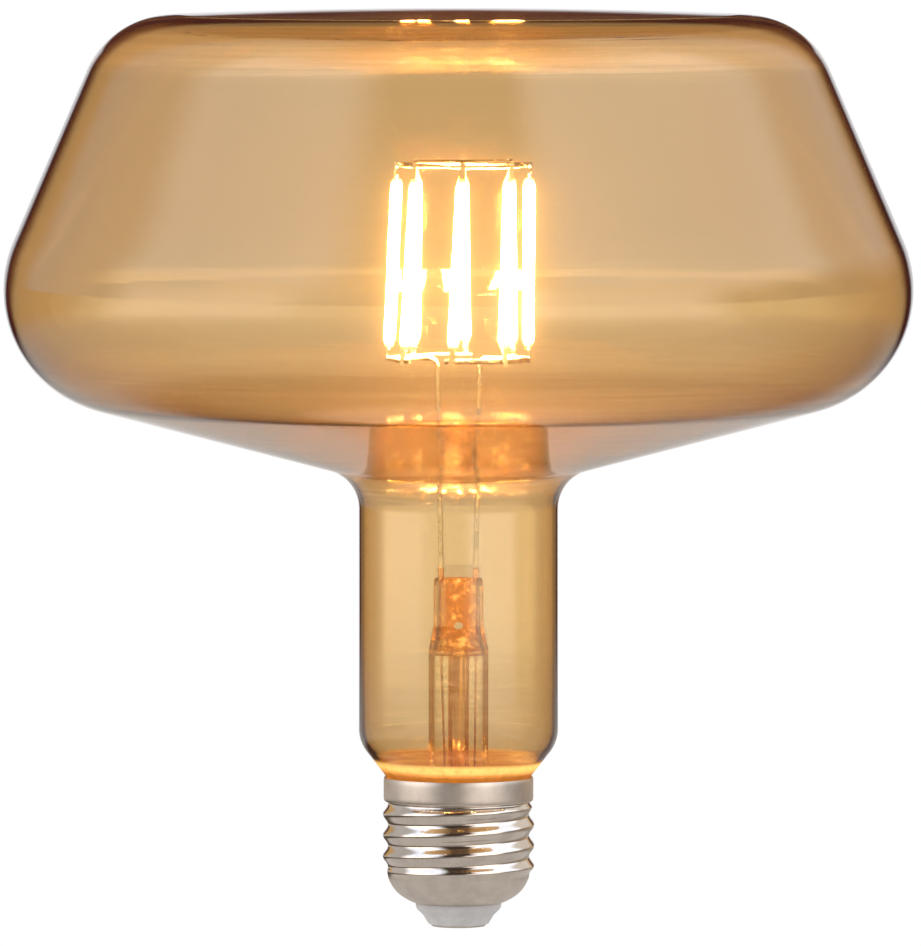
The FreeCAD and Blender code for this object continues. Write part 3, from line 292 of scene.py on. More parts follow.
@dataclass(frozen=True)
class TintedGlass(Finish):
    """Glass that colours light by how far it runs in the wall, with fine rings and a painted warm glow over
    one part.
    """

    through: Colour = (0.61, 0.395, 0.175)
    depth_mm: float = 1.8
    index: float = 1.5
    ripple_mm: float = 0.02
    ripple_scale: float = 260.0
    round_scale: float = 9.0
    swell_scale: float = 45.0
    swell_share: float = 2.0
    ring_sheen: Colour = (0.095, 0.07, 0.038)
    ring_scale: Pair = (14.0, 1500.0)
    ring_rough: float = 0.28
    ring_stretch: float = 0.55
    ring_span: Pair = (0.44, 0.62)
    ring_mm: float = 0.02
    worked: tuple[tuple[Pair, float], ...] = (
        ((76.0, 96.0), 2.6),
        ((106.0, 112.0), 0.06),
        ((149.0, 154.5), 2.8),
    )
    worked_soft_mm: float = 5.0
    # The warm settings below paint a glow: an emission and a translucent layer over one band of the glass,
    # which stand in for the filaments' light that runs down in the glass and comes out there.
    warm_span_mm: Pair = (20.0, 29.2)
    warm_half_mm: float = 90.0
    warm_share: float = 0.75
    painted_warm_glow: Colour = (1.0, 0.36, 0.05)
    painted_warm_spark: Colour = (1.0, 0.66, 0.20)
    painted_warm_strength: float = 0.85
    warm_fade_mm: float = 1.4
    lump_scale: float = 620.0
    lump_share: float = 0.0
    lump_rise: float = 1.0
    scatter: Colour = (0.4, 0.22, 0.06)

    def draw(self, graph: Graph, output: Node) -> None:
        """Draw a clear surface over an absorbing body, with a painted warm glow over one band.

        Args:
            graph: the material's graph.
            output: its output node.
        """
        losses = [-math.log(share) / (self.depth_mm * MM) for share in self.through]
        headroom = 1.02
        density = max(losses) * headroom
        body = graph.add("VolumeAbsorption")
        body.inputs["Color"].default_value = (*[1.0 - loss / density for loss in losses], 1.0)
        body.inputs["Density"].default_value = density
        place = graph.place()
        rings = graph.grain(graph.turned(place, self.round_scale, self.ripple_scale), 1.0, 3.0, 0.55)
        swells = graph.grain(place, self.swell_scale, 1.0)
        height = graph.math("MULTIPLY_ADD", swells, self.swell_share, rings)
        surface = graph.add("BsdfPrincipled")
        graph.feed(surface, Normal=graph.bump(height, 1.0, self.ripple_mm * MM))
        surface.inputs["Base Color"].default_value = (*WHITE, 1.0)
        surface.inputs["Roughness"].default_value = 0.0
        surface.inputs["IOR"].default_value = self.index
        surface.inputs["Transmission Weight"].default_value = 1.0
        clear = surface.outputs[0]
        if self.worked:
            rubbed = self.ring_light(graph, place)
            clear = graph.feed(graph.add("AddShader"), in0=clear, in1=rubbed).outputs[0]
        # Painted light: an emission over one band stands in for the filaments' light coming out of the glass
        # there.
        painted_warm_parts = self.painted_warm_light(graph, place, rings)
        mixed = graph.feed(graph.add("MixShader"), in0=painted_warm_parts[0], in1=clear, in2=painted_warm_parts[1])
        graph.feed(output, Surface=mixed.outputs[0], Volume=body.outputs[0])

    def ring_light(self, graph: Graph, place: object) -> Socket:
        """The reflection that fine rings round the axis draw out up and down.

        Args:
            graph: the material's graph.
            place: the point on the surface.

        Returns:
            The shader's output.
        """
        fine = graph.grain(graph.turned(place, *self.ring_scale), 1.0, 3.0, 0.6)
        drawn = graph.add("BsdfAnisotropic")
        height = graph.height(place)
        worked: object = 0.0
        for span, share in self.worked:
            zone = graph.zone(height, tuple(end * MM for end in span), self.worked_soft_mm * MM)
            worked = graph.math("MULTIPLY_ADD", zone, share, worked)
        streaks = graph.spread(fine, *self.ring_span, 0.2, 1.0)
        shown = graph.math("MULTIPLY", streaks, worked)
        graph.feed(drawn, Color=graph.blend(shown, BLACK, self.ring_sheen))
        drawn.inputs["Roughness"].default_value = self.ring_rough
        drawn.inputs["Anisotropy"].default_value = self.ring_stretch
        graph.feed(drawn, Normal=graph.bump(fine, 1.0, self.ring_mm * MM))
        along_rings = graph.add("Tangent", direction_type="RADIAL", axis="Z")
        graph.feed(drawn, Tangent=along_rings.outputs[0])
        return drawn.outputs[0]

    def painted_warm_light(self, graph: Graph, place: object, rings: object) -> tuple[Socket, ...]:
        """A painted glow over the part where light that runs down in the glass would come out again.

        Args:
            graph: the material's graph.
            place: the point on the surface.
            rings: the fine rings' height.

        Returns:
            How much of it shows and its shader.
        """
        apart = graph.feed(graph.add("SeparateXYZ"), in0=place)
        low, high = self.warm_span_mm
        rising = graph.fade(apart.outputs[2], low * MM, (low + self.warm_fade_mm) * MM)
        falling = graph.spread(apart.outputs[2], (high - 1) * MM, high * MM, 1.0, 0.0)
        aside = graph.math("ABSOLUTE", apart.outputs[0])
        half = self.warm_half_mm * MM
        across = graph.spread(aside, half * 0.45, half, 1.0, 0.0)
        within = graph.math("MULTIPLY", graph.math("MULTIPLY", rising, falling), across)
        drawn = graph.add("VectorMath", operation="MULTIPLY")
        drawn.inputs[1].default_value = (1.0, 1.0, self.lump_rise)
        graph.feed(drawn, in0=place)
        lumps = graph.grain(drawn.outputs[0], self.lump_scale, 3.0, 0.7)
        shown = graph.math("MULTIPLY", within, graph.spread(lumps, 0.25, 0.6, 0.75, 1.0))
        lumpy = graph.math("MULTIPLY", lumps, self.lump_share)
        mixed = graph.math("MULTIPLY_ADD", rings, 1.0 - self.lump_share, lumpy)
        spark = graph.fade(mixed, 0.45, 0.66)
        level = graph.spread(spark, 0.0, 1.0, self.painted_warm_strength * 0.45, self.painted_warm_strength * 1.5)
        # Painted glow: this emission is not a lamp.
        glow = graph.add("Emission")
        graph.feed(glow, Color=graph.blend(spark, self.painted_warm_glow, self.painted_warm_spark), Strength=level)
        scatter = graph.add("BsdfTranslucent")
        scatter.inputs["Color"].default_value = (*self.scatter, 1.0)
        lit = graph.feed(graph.add("AddShader"), in0=glow.outputs[0], in1=scatter.outputs[0])
        return graph.math("MULTIPLY", shown, self.warm_share), lit.outputs[0]


@dataclass(frozen=True)
class PlatedMetal(Finish):
    """Plated or drawn metal: warm and cool patches, marks of working, and duller patches."""

    light: Colour = (0.66, 0.60, 0.55)
    dark: Colour = (0.46, 0.40, 0.36)
    smooth: float = 0.16
    rough: float = 0.34
    mark_scale: float = 2400.0
    mark_mm: float = 0.004
    mark_share: float = 0.3
    cloud_scale: float = 260.0
    most_dull: float = 0.45
    turned_scale: float = 60.0
    satin: float = 0.40
    polished_span_mm: Pair = (0.0, 0.0)
    polished_soft_mm: float = 0.9

    def draw(self, graph: Graph, output: Node) -> None:
        """Draw metal that is polished over one span of its height, where it has one, and satin beyond it.

        Args:
            graph: the material's graph.
            output: its output node.
        """
        place = graph.place()
        cloud = graph.grain(place, self.cloud_scale, 4.0, 0.6)
        marks = graph.grain(graph.turned(place, self.turned_scale, self.mark_scale), 1.0, 3.0, 0.6)
        dull = graph.spread(cloud, 0.35, 0.7, 0.0, self.most_dull)
        worn = graph.math("MULTIPLY_ADD", marks, self.mark_share, dull)
        shine = graph.spread(worn, 0.0, 1.3, self.smooth, self.rough)
        if self.polished_span_mm[1] > self.polished_span_mm[0]:
            span = tuple(end * MM for end in self.polished_span_mm)
            polished = graph.zone(graph.height(place), span, self.polished_soft_mm * MM)
            satin = graph.math("MULTIPLY", graph.math("SUBTRACT", 1.0, polished), self.satin)
            shine = graph.math("MAXIMUM", shine, satin)
        surface = graph.add("BsdfPrincipled")
        graph.feed(
            surface,
            Base_Color=graph.blend(dull, self.light, self.dark),
            Roughness=shine,
            Normal=graph.bump(marks, 0.6, self.mark_mm * MM),
        )
        surface.inputs["Metallic"].default_value = 1.0
        graph.feed(output, Surface=surface.outputs[0])


@dataclass(frozen=True)
class GlowingCoat(Finish):
    """Lit phosphor in silicone: white hot along its length, deep yellow at its two tips."""

    middle_mm: float = 114.6
    reach_mm: float = 14.6
    core: Colour = (1.0, 0.80, 0.50)
    tip: Colour = (1.0, 0.52, 0.12)
    strength: float = 400.0
    tip_strength: float = 9.0
    chip_pitch_mm: float = 1.05
    chip_share: float = 0.12
    tip_span: Pair = (0.84, 0.99)
    cloud_scale: float = 900.0
    rough: float = 0.42
    silicone: tuple[Colour, Colour] = ((0.95, 0.62, 0.16), (1.0, 0.76, 0.30))

    def draw(self, graph: Graph, output: Node) -> None:
        """Draw the glow, brightest over each chip.

        Args:
            graph: the material's graph.
            output: its output node.
        """
        place = graph.place()
        height = graph.math("SUBTRACT", graph.height(place), self.middle_mm * MM)
        share = graph.math("DIVIDE", graph.math("ABSOLUTE", height), self.reach_mm * MM)
        tip = graph.fade(share, *self.tip_span)
        beat = graph.math("SINE", graph.math("MULTIPLY", height, math.tau / (self.chip_pitch_mm * MM)))
        chips = graph.math("MULTIPLY_ADD", beat, self.chip_share, 1.0)
        cloud = graph.spread(graph.grain(place, self.cloud_scale, 2.0), 0.3, 0.7, 0.85, 1.1)
        level = graph.spread(tip, 0.0, 1.0, self.strength, self.tip_strength)
        surface = graph.add("BsdfPrincipled")
        graph.feed(
            surface,
            Base_Color=graph.blend(cloud, *self.silicone),
            Emission_Color=graph.blend(tip, self.core, self.tip),
            Emission_Strength=graph.math("MULTIPLY", level, graph.math("MULTIPLY", chips, cloud)),
        )
        surface.inputs["Roughness"].default_value = self.rough
        graph.feed(output, Surface=surface.outputs[0])


@dataclass(frozen=True)
class MattSolid(Finish):
    """Moulded plastic, ceramic, cement or lacquer: a speckled colour with a fine grained skin."""

    light: Colour = (0.60, 0.58, 0.56)
    dark: Colour = (0.50, 0.48, 0.46)
    smooth: float = 0.35
    rough: float = 0.55
    cloud_scale: float = 180.0
    speck_scale: float = 1400.0
    grain_mm: float = 0.01
    coat: float = 0.0

    def draw(self, graph: Graph, output: Node) -> None:
        """Draw the skin.

        Args:
            graph: the material's graph.
            output: its output node.
        """
        place = graph.place()
        cloud = graph.spread(graph.grain(place, self.cloud_scale, 3.0, 0.6), 0.35, 0.65, 0.0, 0.7)
        specks = graph.grain(place, self.speck_scale, 4.0, 0.65)
        tone = graph.math("MULTIPLY_ADD", graph.fade(specks, 0.4, 0.75), 0.3, cloud, clamp=True)
        surface = graph.add("BsdfPrincipled")
        graph.feed(
            surface,
            Base_Color=graph.blend(tone, self.light, self.dark),
            Roughness=graph.spread(specks, 0.3, 0.7, self.smooth, self.rough),
            Normal=graph.bump(specks, 0.5, self.grain_mm * MM),
        )
        surface.inputs["Coat Weight"].default_value = self.coat
        graph.feed(output, Surface=surface.outputs[0])


# Each glass paints a warm glow over one band, which stands in for the filaments' light carried down in the
# glass. The bands are the envelope's neck foot, the stem's press and the exhaust tube.
AMBER_GLASS = TintedGlass("amber_blown_glass")
STEM_GLASS = TintedGlass(
    "clear_stem_glass", through=(0.95, 0.88, 0.76), ripple_mm=0.06, round_scale=160.0, worked=(),
    warm_span_mm=(46.0, 61.5), warm_half_mm=3.4, warm_fade_mm=4.0, warm_share=0.85,
    painted_warm_glow=(1.0, 0.27, 0.01), painted_warm_strength=1.3, lump_share=0.6,
)
TUBE_GLASS = TintedGlass(
    "amber_tube_glass", through=(0.90, 0.62, 0.34), ripple_mm=0.03, round_scale=120.0, worked=(),
    warm_span_mm=(30.0, 60.0), warm_half_mm=3.0, warm_fade_mm=20.0, warm_share=0.62,
    painted_warm_glow=(0.62, 0.20, 0.02), painted_warm_strength=0.9, lump_share=0.9, lump_rise=0.04,
)
NICKEL_SHELL = PlatedMetal(
    "nickel_plated_shell", light=(0.70, 0.62, 0.555), dark=(0.48, 0.415, 0.37), smooth=0.07, rough=0.2,
    mark_mm=0.002, polished_span_mm=(8.9, 21.7),
)
NICKEL_CONTACT = PlatedMetal("nickel_contact", light=(0.58, 0.53, 0.48), dark=(0.38, 0.33, 0.30))
SUPPORT_WIRE = PlatedMetal(
    "drawn_support_wire", light=(0.52, 0.47, 0.43), dark=(0.34, 0.29, 0.26), smooth=0.22, rough=0.42,
)
SEAL_WIRE = PlatedMetal(
    "copper_clad_wire", light=(0.70, 0.42, 0.28), dark=(0.38, 0.20, 0.14), smooth=0.25, rough=0.5,
)
END_TAB = PlatedMetal(
    "stamped_end_tab", light=(0.62, 0.58, 0.53), dark=(0.42, 0.38, 0.34), smooth=0.2, rough=0.4,
)
TINNED_LEAD = PlatedMetal(
    "tinned_lead", light=(0.68, 0.68, 0.69), dark=(0.48, 0.48, 0.50), smooth=0.2, rough=0.4,
)
WINDING = PlatedMetal(
    "enamelled_winding", light=(0.62, 0.27, 0.12), dark=(0.36, 0.14, 0.07), mark_scale=5200.0,
)
LIT_COAT = GlowingCoat("lit_phosphor_coat")
STRIP_CERAMIC = MattSolid("strip_ceramic", light=(0.86, 0.84, 0.78), dark=(0.74, 0.71, 0.64))
CAP_CEMENT = MattSolid(
    "baked_cap_cement", light=(0.78, 0.62, 0.40), dark=(0.60, 0.44, 0.26), smooth=0.6, rough=0.9,
    grain_mm=0.05,
)
INSULATOR = MattSolid("moulded_insulator", light=(0.46, 0.44, 0.43), dark=(0.38, 0.36, 0.35))
BOARD = MattSolid(
    "lacquered_board", light=(0.05, 0.26, 0.10), dark=(0.03, 0.17, 0.07), smooth=0.2, rough=0.35, coat=0.4,
)
CAN_SLEEVE = MattSolid(
    "capacitor_sleeve", light=(0.035, 0.035, 0.045), dark=(0.02, 0.02, 0.025), smooth=0.25, rough=0.4,
)
PACKAGE = MattSolid("moulded_package", light=(0.045, 0.045, 0.045), dark=(0.028, 0.028, 0.028))
RESISTOR = MattSolid("lacquered_resistor", light=(0.26, 0.34, 0.24), dark=(0.18, 0.25, 0.17), coat=0.5)


class Workshop:
    """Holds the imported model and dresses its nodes, and links what is made beside them."""

    def __init__(self, frame: dict) -> None:
        """Keep the loaded frame.

        Args:
            frame: what the loader gave back.
        """
        self.nodes = frame["nodes"]
        self.made: dict[str, bpy.types.Material] = {}

    def material(self, finish: Finish) -> bpy.types.Material:
        """A finish's material, made once.

        Args:
            finish: the finish.

        Returns:
            Its material.
        """
        if finish.name not in self.made:
            self.made[finish.name] = finish.make()
        return self.made[finish.name]

    def dress(self, node: str, finish: Finish) -> None:
        """Give a node of the model its finish.

        Args:
            node: the node's name.
            finish: the finish for all of it.
        """
        thing = self.nodes[node]
        material = self.material(finish)
        if not thing.material_slots:
            thing.data.materials.append(material)
        for slot in thing.material_slots:
            slot.material = material
        LOG.info("%s: %s", node, finish.name)

    def link(
        self, name: str, mesh: bpy.types.Mesh, finish: Finish, slot: str, *replaced: str
    ) -> bpy.types.Object:
        """Add a piece to the scene on the bulb's one body.

        Args:
            name: the piece's name.
            mesh: its mesh, in the model's frame.
            finish: its finish.
            slot: the record's slot for the piece's finish; not used.
            replaced: nodes that it stands for.

        Returns:
            The new piece.
        """
        mesh.materials.append(self.material(finish))
        piece = bpy.data.objects.new(name, mesh)
        bpy.context.scene.collection.objects.link(piece)
        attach(piece, "root")
        if replaced:
            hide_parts(*replaced)
        LOG.info("%s: %d faces, %s", name, len(mesh.polygons), finish.name)
        return piece


def arc(centre: Pair, radius: float, start: float, end: float, steps: int) -> list[Pair]:
    """Points along an arc.

    Args:
        centre: the arc's middle.
        radius: its radius.
        start: where it starts, in degrees.
        end: where it ends, in degrees.
        steps: how many runs it has.

    Returns:
        Its points, both ends among them.
    """
    turns = [math.radians(start + (end - start) * step / steps) for step in range(steps + 1)]
    return [(centre[0] + radius * math.cos(turn), centre[1] + radius * math.sin(turn)) for turn in turns]


def along(degrees: float) -> Vector:
    """The direction that lies so many degrees above level, in the plane of a section."""
    return Vector((math.cos(math.radians(degrees)), math.sin(math.radians(degrees))))


def between(start: Pair, end: Pair, steps: int) -> list[Pair]:
    """Points between two others, without those two."""
    run = (end[0] - start[0], end[1] - start[1])
    shares = [step / steps for step in range(1, steps)]
    return [(start[0] + run[0] * share, start[1] + run[1] * share) for share in shares]


@dataclass
class BlownGlass:
    """The glass envelope: an even wall blown to the outline of a wide reflector, in millimetres."""

    total_height: float = 158.4
    widest_radius: float = 78.4
    widest_height: float = 110.1
    belly_curve: float = 21.3
    cone_rise: float = 14.75
    flank_lean: float = 23.4
    shoulder_curve: float = 15.8
    crown_curve: float = 1250.0
    throat_curve: float = 6.9
    neck_radius: float = 17.2
    neck_start: float = 34.2
    neck_end_curve: float = 6.5
    neck_taper: float = 38.0
    skirt_radius: float = 12.3
    skirt_curve: float = 1.0
    skirt_end: float = 23.4
    wall: float = 0.9
    skin: float = 0.01
    uneven: float = 0.05
    uneven_scale: float = 0.06
    uneven_out: float = 0.5
    uneven_down: float = 0.3
    crown_from: float = 120.0
    around: int = 208

    def half_section(self, inset: float) -> list[Pair]:
        """The glass's outline on one side of its axis.

        Args:
            inset: how far it lies inside the outer face.

        Returns:
            Its points from the skirt's edge up to the middle of the crown.
        """
        foot = Vector((self.neck_radius - self.neck_end_curve, self.neck_start))
        foot_radius = self.neck_end_curve - inset
        taper_out = along(-self.neck_taper)
        taper_line = foot.dot(taper_out) + foot_radius
        skirt_radius = self.skirt_curve + inset
        skirt_across = self.skirt_radius + self.skirt_curve
        skirt_up = (skirt_across * taper_out.x - skirt_radius - taper_line) / -taper_out.y
        belly = Vector((self.widest_radius - self.belly_curve, self.widest_height))
        belly_radius = self.belly_curve - inset
        cone_out = along(self.cone_rise - 90)
        throat_radius = self.throat_curve + inset
        throat_across = self.neck_radius + self.throat_curve
        cone_line = belly.dot(cone_out) + belly_radius
        throat_up = (throat_across * cone_out.x - throat_radius - cone_line) / -cone_out.y
        crown = Vector((0.0, self.total_height - self.crown_curve))
        flank_out = along(self.flank_lean)
        flank_up = along(self.flank_lean + 90)
        shoulder_radius = self.shoulder_curve - inset
        level = belly.dot(flank_out) + belly_radius - shoulder_radius
        gap = self.crown_curve - inset - shoulder_radius
        climb = math.sqrt(gap ** 2 - (level - crown.dot(flank_out)) ** 2)
        shoulder = flank_out * level + flank_up * (crown.dot(flank_up) + climb)
        toward_crown = math.degrees(math.atan2(shoulder.y - crown.y, shoulder.x - crown.x))
        runs = [
            [(self.skirt_radius - inset, self.skirt_end)],
            arc((skirt_across, skirt_up), skirt_radius, 180, 180 - self.neck_taper, 7),
            arc(tuple(foot), foot_radius, -self.neck_taper, 0, 10),
            arc((throat_across, throat_up), throat_radius, 180, 90 + self.cone_rise, 18),
            arc(tuple(belly), belly_radius, self.cone_rise - 90, self.flank_lean, 40),
            arc(tuple(shoulder), shoulder_radius, self.flank_lean, toward_crown, 24),
            arc(tuple(crown), self.crown_curve - inset, toward_crown, 90, 22)[:-1],
        ]
        section = list(runs[0])
        for run, pieces in zip(runs[1:], (2, 3, 14, 18, 10, 1)):
            section += between(section[-1], run[0], pieces) + run
        return section

    def build(self, shop: Workshop) -> None:
        """Spin both faces of the wall into one closed mesh and dress it as amber glass.

        Args:
            shop: the workshop that the piece is made in.
        """
        outer = self.half_section(self.skin)
        inner = self.half_section(self.wall)
        tops = (self.total_height - self.skin, self.total_height - self.wall)
        points: list[Vector] = []
        faces: list[tuple[int, ...]] = []
        starts = []
        for section, top, wavy in ((outer, tops[0], False), (inner, tops[1], True)):
            start = len(points)
            starts.append(start)
            for across, up in section:
                for step in range(self.around):
                    turn = math.tau * step / self.around
                    spot = Vector((across * math.cos(turn), across * math.sin(turn), up))
                    if wavy and up > self.skirt_end + 1:
                        shift = self.uneven * noise.noise(spot * self.uneven_scale) - self.uneven
                        outward = Vector((spot.x, spot.y, 0)).normalized()
                        lower = Vector((0, 0, shift if up > self.crown_from else 0))
                        spot += outward * (shift * self.uneven_out) + lower * self.uneven_down
                    points.append(spot * MM)
            points.append(Vector((0, 0, top * MM)))
            rows = len(section)
            for row in range(rows - 1):
                for step in range(self.around):
                    after = (step + 1) % self.around
                    low = start + row * self.around
                    ring = (low + step, low + after, low + self.around + after, low + self.around + step)
                    faces.append(ring[::-1] if wavy else ring)
            last = start + (rows - 1) * self.around
            for step in range(self.around):
                tip = (last + step, last + (step + 1) % self.around, start + rows * self.around)
                faces.append(tip[::-1] if wavy else tip)
        smooth = len(faces)
        for step in range(self.around):
            after = (step + 1) % self.around
            faces.append((starts[0] + after, starts[0] + step, starts[1] + step, starts[1] + after))
        mesh = bpy.data.meshes.new("blown_glass")
        mesh.from_pydata(points, [], faces)
        mesh.polygons.foreach_set("use_smooth", [index < smooth for index in range(len(faces))])
        mesh.update()
        shop.link("blown_glass", mesh, AMBER_GLASS, "amber_glass", "glass_envelope")


@dataclass
class FilamentCage:
    """The eight filaments on their ring and arcs, with a weld bead at each joint, in millimetres."""

    count: int = 8
    lower_radius: float = 11.9
    lower_height: float = 97.7
    upper_radius: float = 11.1
    upper_height: float = 131.5
    lean: float = 0.8
    twist: float = 5.5
    wire_radius: float = 0.4
    bead: float = 0.5
    bead_lump: float = 0.09
    bead_flat: float = 0.75
    bead_long: float = 1.15

    def bead_at(
        self, middle: Vector, outward: Vector, seed: int
    ) -> tuple[list[Vector], list[tuple[int, ...]]]:
        """One lumpy weld bead.

        Args:
            middle: its middle.
            outward: the way from the ring's wire to the tab.
            seed: picks its lumps.

        Returns:
            Its points in metres and its faces.
        """
        rings, sides = 7, 12
        draw = random.Random(seed)
        long_way = Vector((0, 0, 1))
        side = long_way.cross(outward).normalized()
        points = []
        for ring in range(rings + 1):
            rise = math.pi * ring / rings
            for step in range(sides):
                turn = math.tau * step / sides
                lump = 1 + draw.uniform(-self.bead_lump, self.bead_lump)
                wide = self.bead * math.sin(rise) * lump
                flat = wide * self.bead_flat * math.cos(turn)
                tall = self.bead * self.bead_long * math.cos(rise)
                spot = outward * flat + side * (wide * math.sin(turn)) + long_way * tall
                points.append((middle + spot) * MM)
        faces = []
        for ring in range(rings):
            for step in range(sides):
                after = (step + 1) % sides
                low = ring * sides
                faces.append((low + step, low + sides + step, low + sides + after, low + after))
        return points, faces

    def build(self, shop: Workshop) -> None:
        """Dress the cage's nodes and add the weld beads.

        Args:
            shop: the workshop that the pieces are made in.
        """
        for number in range(1, self.count + 1):
            shop.dress("filament_coat_%d" % number, LIT_COAT)
            shop.dress("filament_strip_%d" % number, STRIP_CERAMIC)
            shop.dress("filament_tabs_%d" % number, END_TAB)
        for node in ("top_ring", "bottom_arc_left", "bottom_arc_right"):
            shop.dress(node, SUPPORT_WIRE)
        points: list[Vector] = []
        faces: list[tuple[int, ...]] = []
        for number in range(self.count):
            angle = 360 / self.count * number
            for radius, height, shift, turned in (
                (self.lower_radius, self.lower_height, 0.0, -self.twist),
                (self.upper_radius, self.upper_height, self.lean, 0.0),
            ):
                turn = math.radians(angle + turned)
                outward = Vector((math.cos(turn), math.sin(turn), 0))
                middle = outward * (radius + self.wire_radius) + Vector((shift, 0, height))
                bead_points, bead_faces = self.bead_at(middle, outward, len(points))
                start = len(points)
                points += bead_points
                faces += [tuple(start + corner for corner in face) for face in bead_faces]
        mesh = bpy.data.meshes.new("tab_welds")
        mesh.from_pydata(points, [], faces)
        mesh.polygons.foreach_set("use_smooth", [True] * len(faces))
        mesh.update()
        shop.link("tab_welds", mesh, SUPPORT_WIRE, "support_wire")


@dataclass
class StemMount:
    """The glass stem with its wires and its sealed exhaust tube."""

    clear: tuple[tuple[str, Finish], ...] = (("glass_stem", STEM_GLASS), ("exhaust_tube", TUBE_GLASS))
    copper: tuple[str, ...] = ("seal_wire_left", "seal_wire_right", "outer_lead_left", "outer_lead_right")
    steel: tuple[str, ...] = ("support_wire_left", "support_wire_right")

    def build(self, shop: Workshop) -> None:
        """Dress the stem's nodes.

        Args:
            shop: the workshop that holds them.
        """
        for node, finish in self.clear:
            shop.dress(node, finish)
        for node in self.copper:
            shop.dress(node, SEAL_WIRE)
        for node in self.steel:
            shop.dress(node, SUPPORT_WIRE)


@dataclass
class ScrewCap:
    """The nickel shell, its cement, the insulator and the centre contact."""

    def build(self, shop: Workshop) -> None:
        """Dress the cap's nodes.

        Args:
            shop: the workshop that holds them.
        """
        shop.dress("screw_shell", NICKEL_SHELL)
        shop.dress("cap_cement", CAP_CEMENT)
        shop.dress("cap_insulator", INSULATOR)
        shop.dress("centre_contact", NICKEL_CONTACT)


@dataclass
class Driver:
    """The driver board inside the cap and what it carries."""

    finishes: tuple[tuple[str, Finish], ...] = (
        ("driver_board", BOARD),
        ("smoothing_capacitor", CAN_SLEEVE),
        ("bridge_rectifier", PACKAGE),
        ("driver_chip", PACKAGE),
        ("inductor", WINDING),
        ("fuse_resistor", RESISTOR),
        ("contact_lead", TINNED_LEAD),
        ("shell_lead", TINNED_LEAD),
    )

    def build(self, shop: Workshop) -> None:
        """Dress the driver's nodes.

        Args:
            shop: the workshop that holds them.
        """
        for node, finish in self.finishes:
            shop.dress(node, finish)


@dataclass(frozen=True)
class Glow:
    """A part of the studio as reflections see it, in degrees right of the camera's side and above level."""

    turn: Pair
    rise: Pair
    soft: float
    colour: Colour


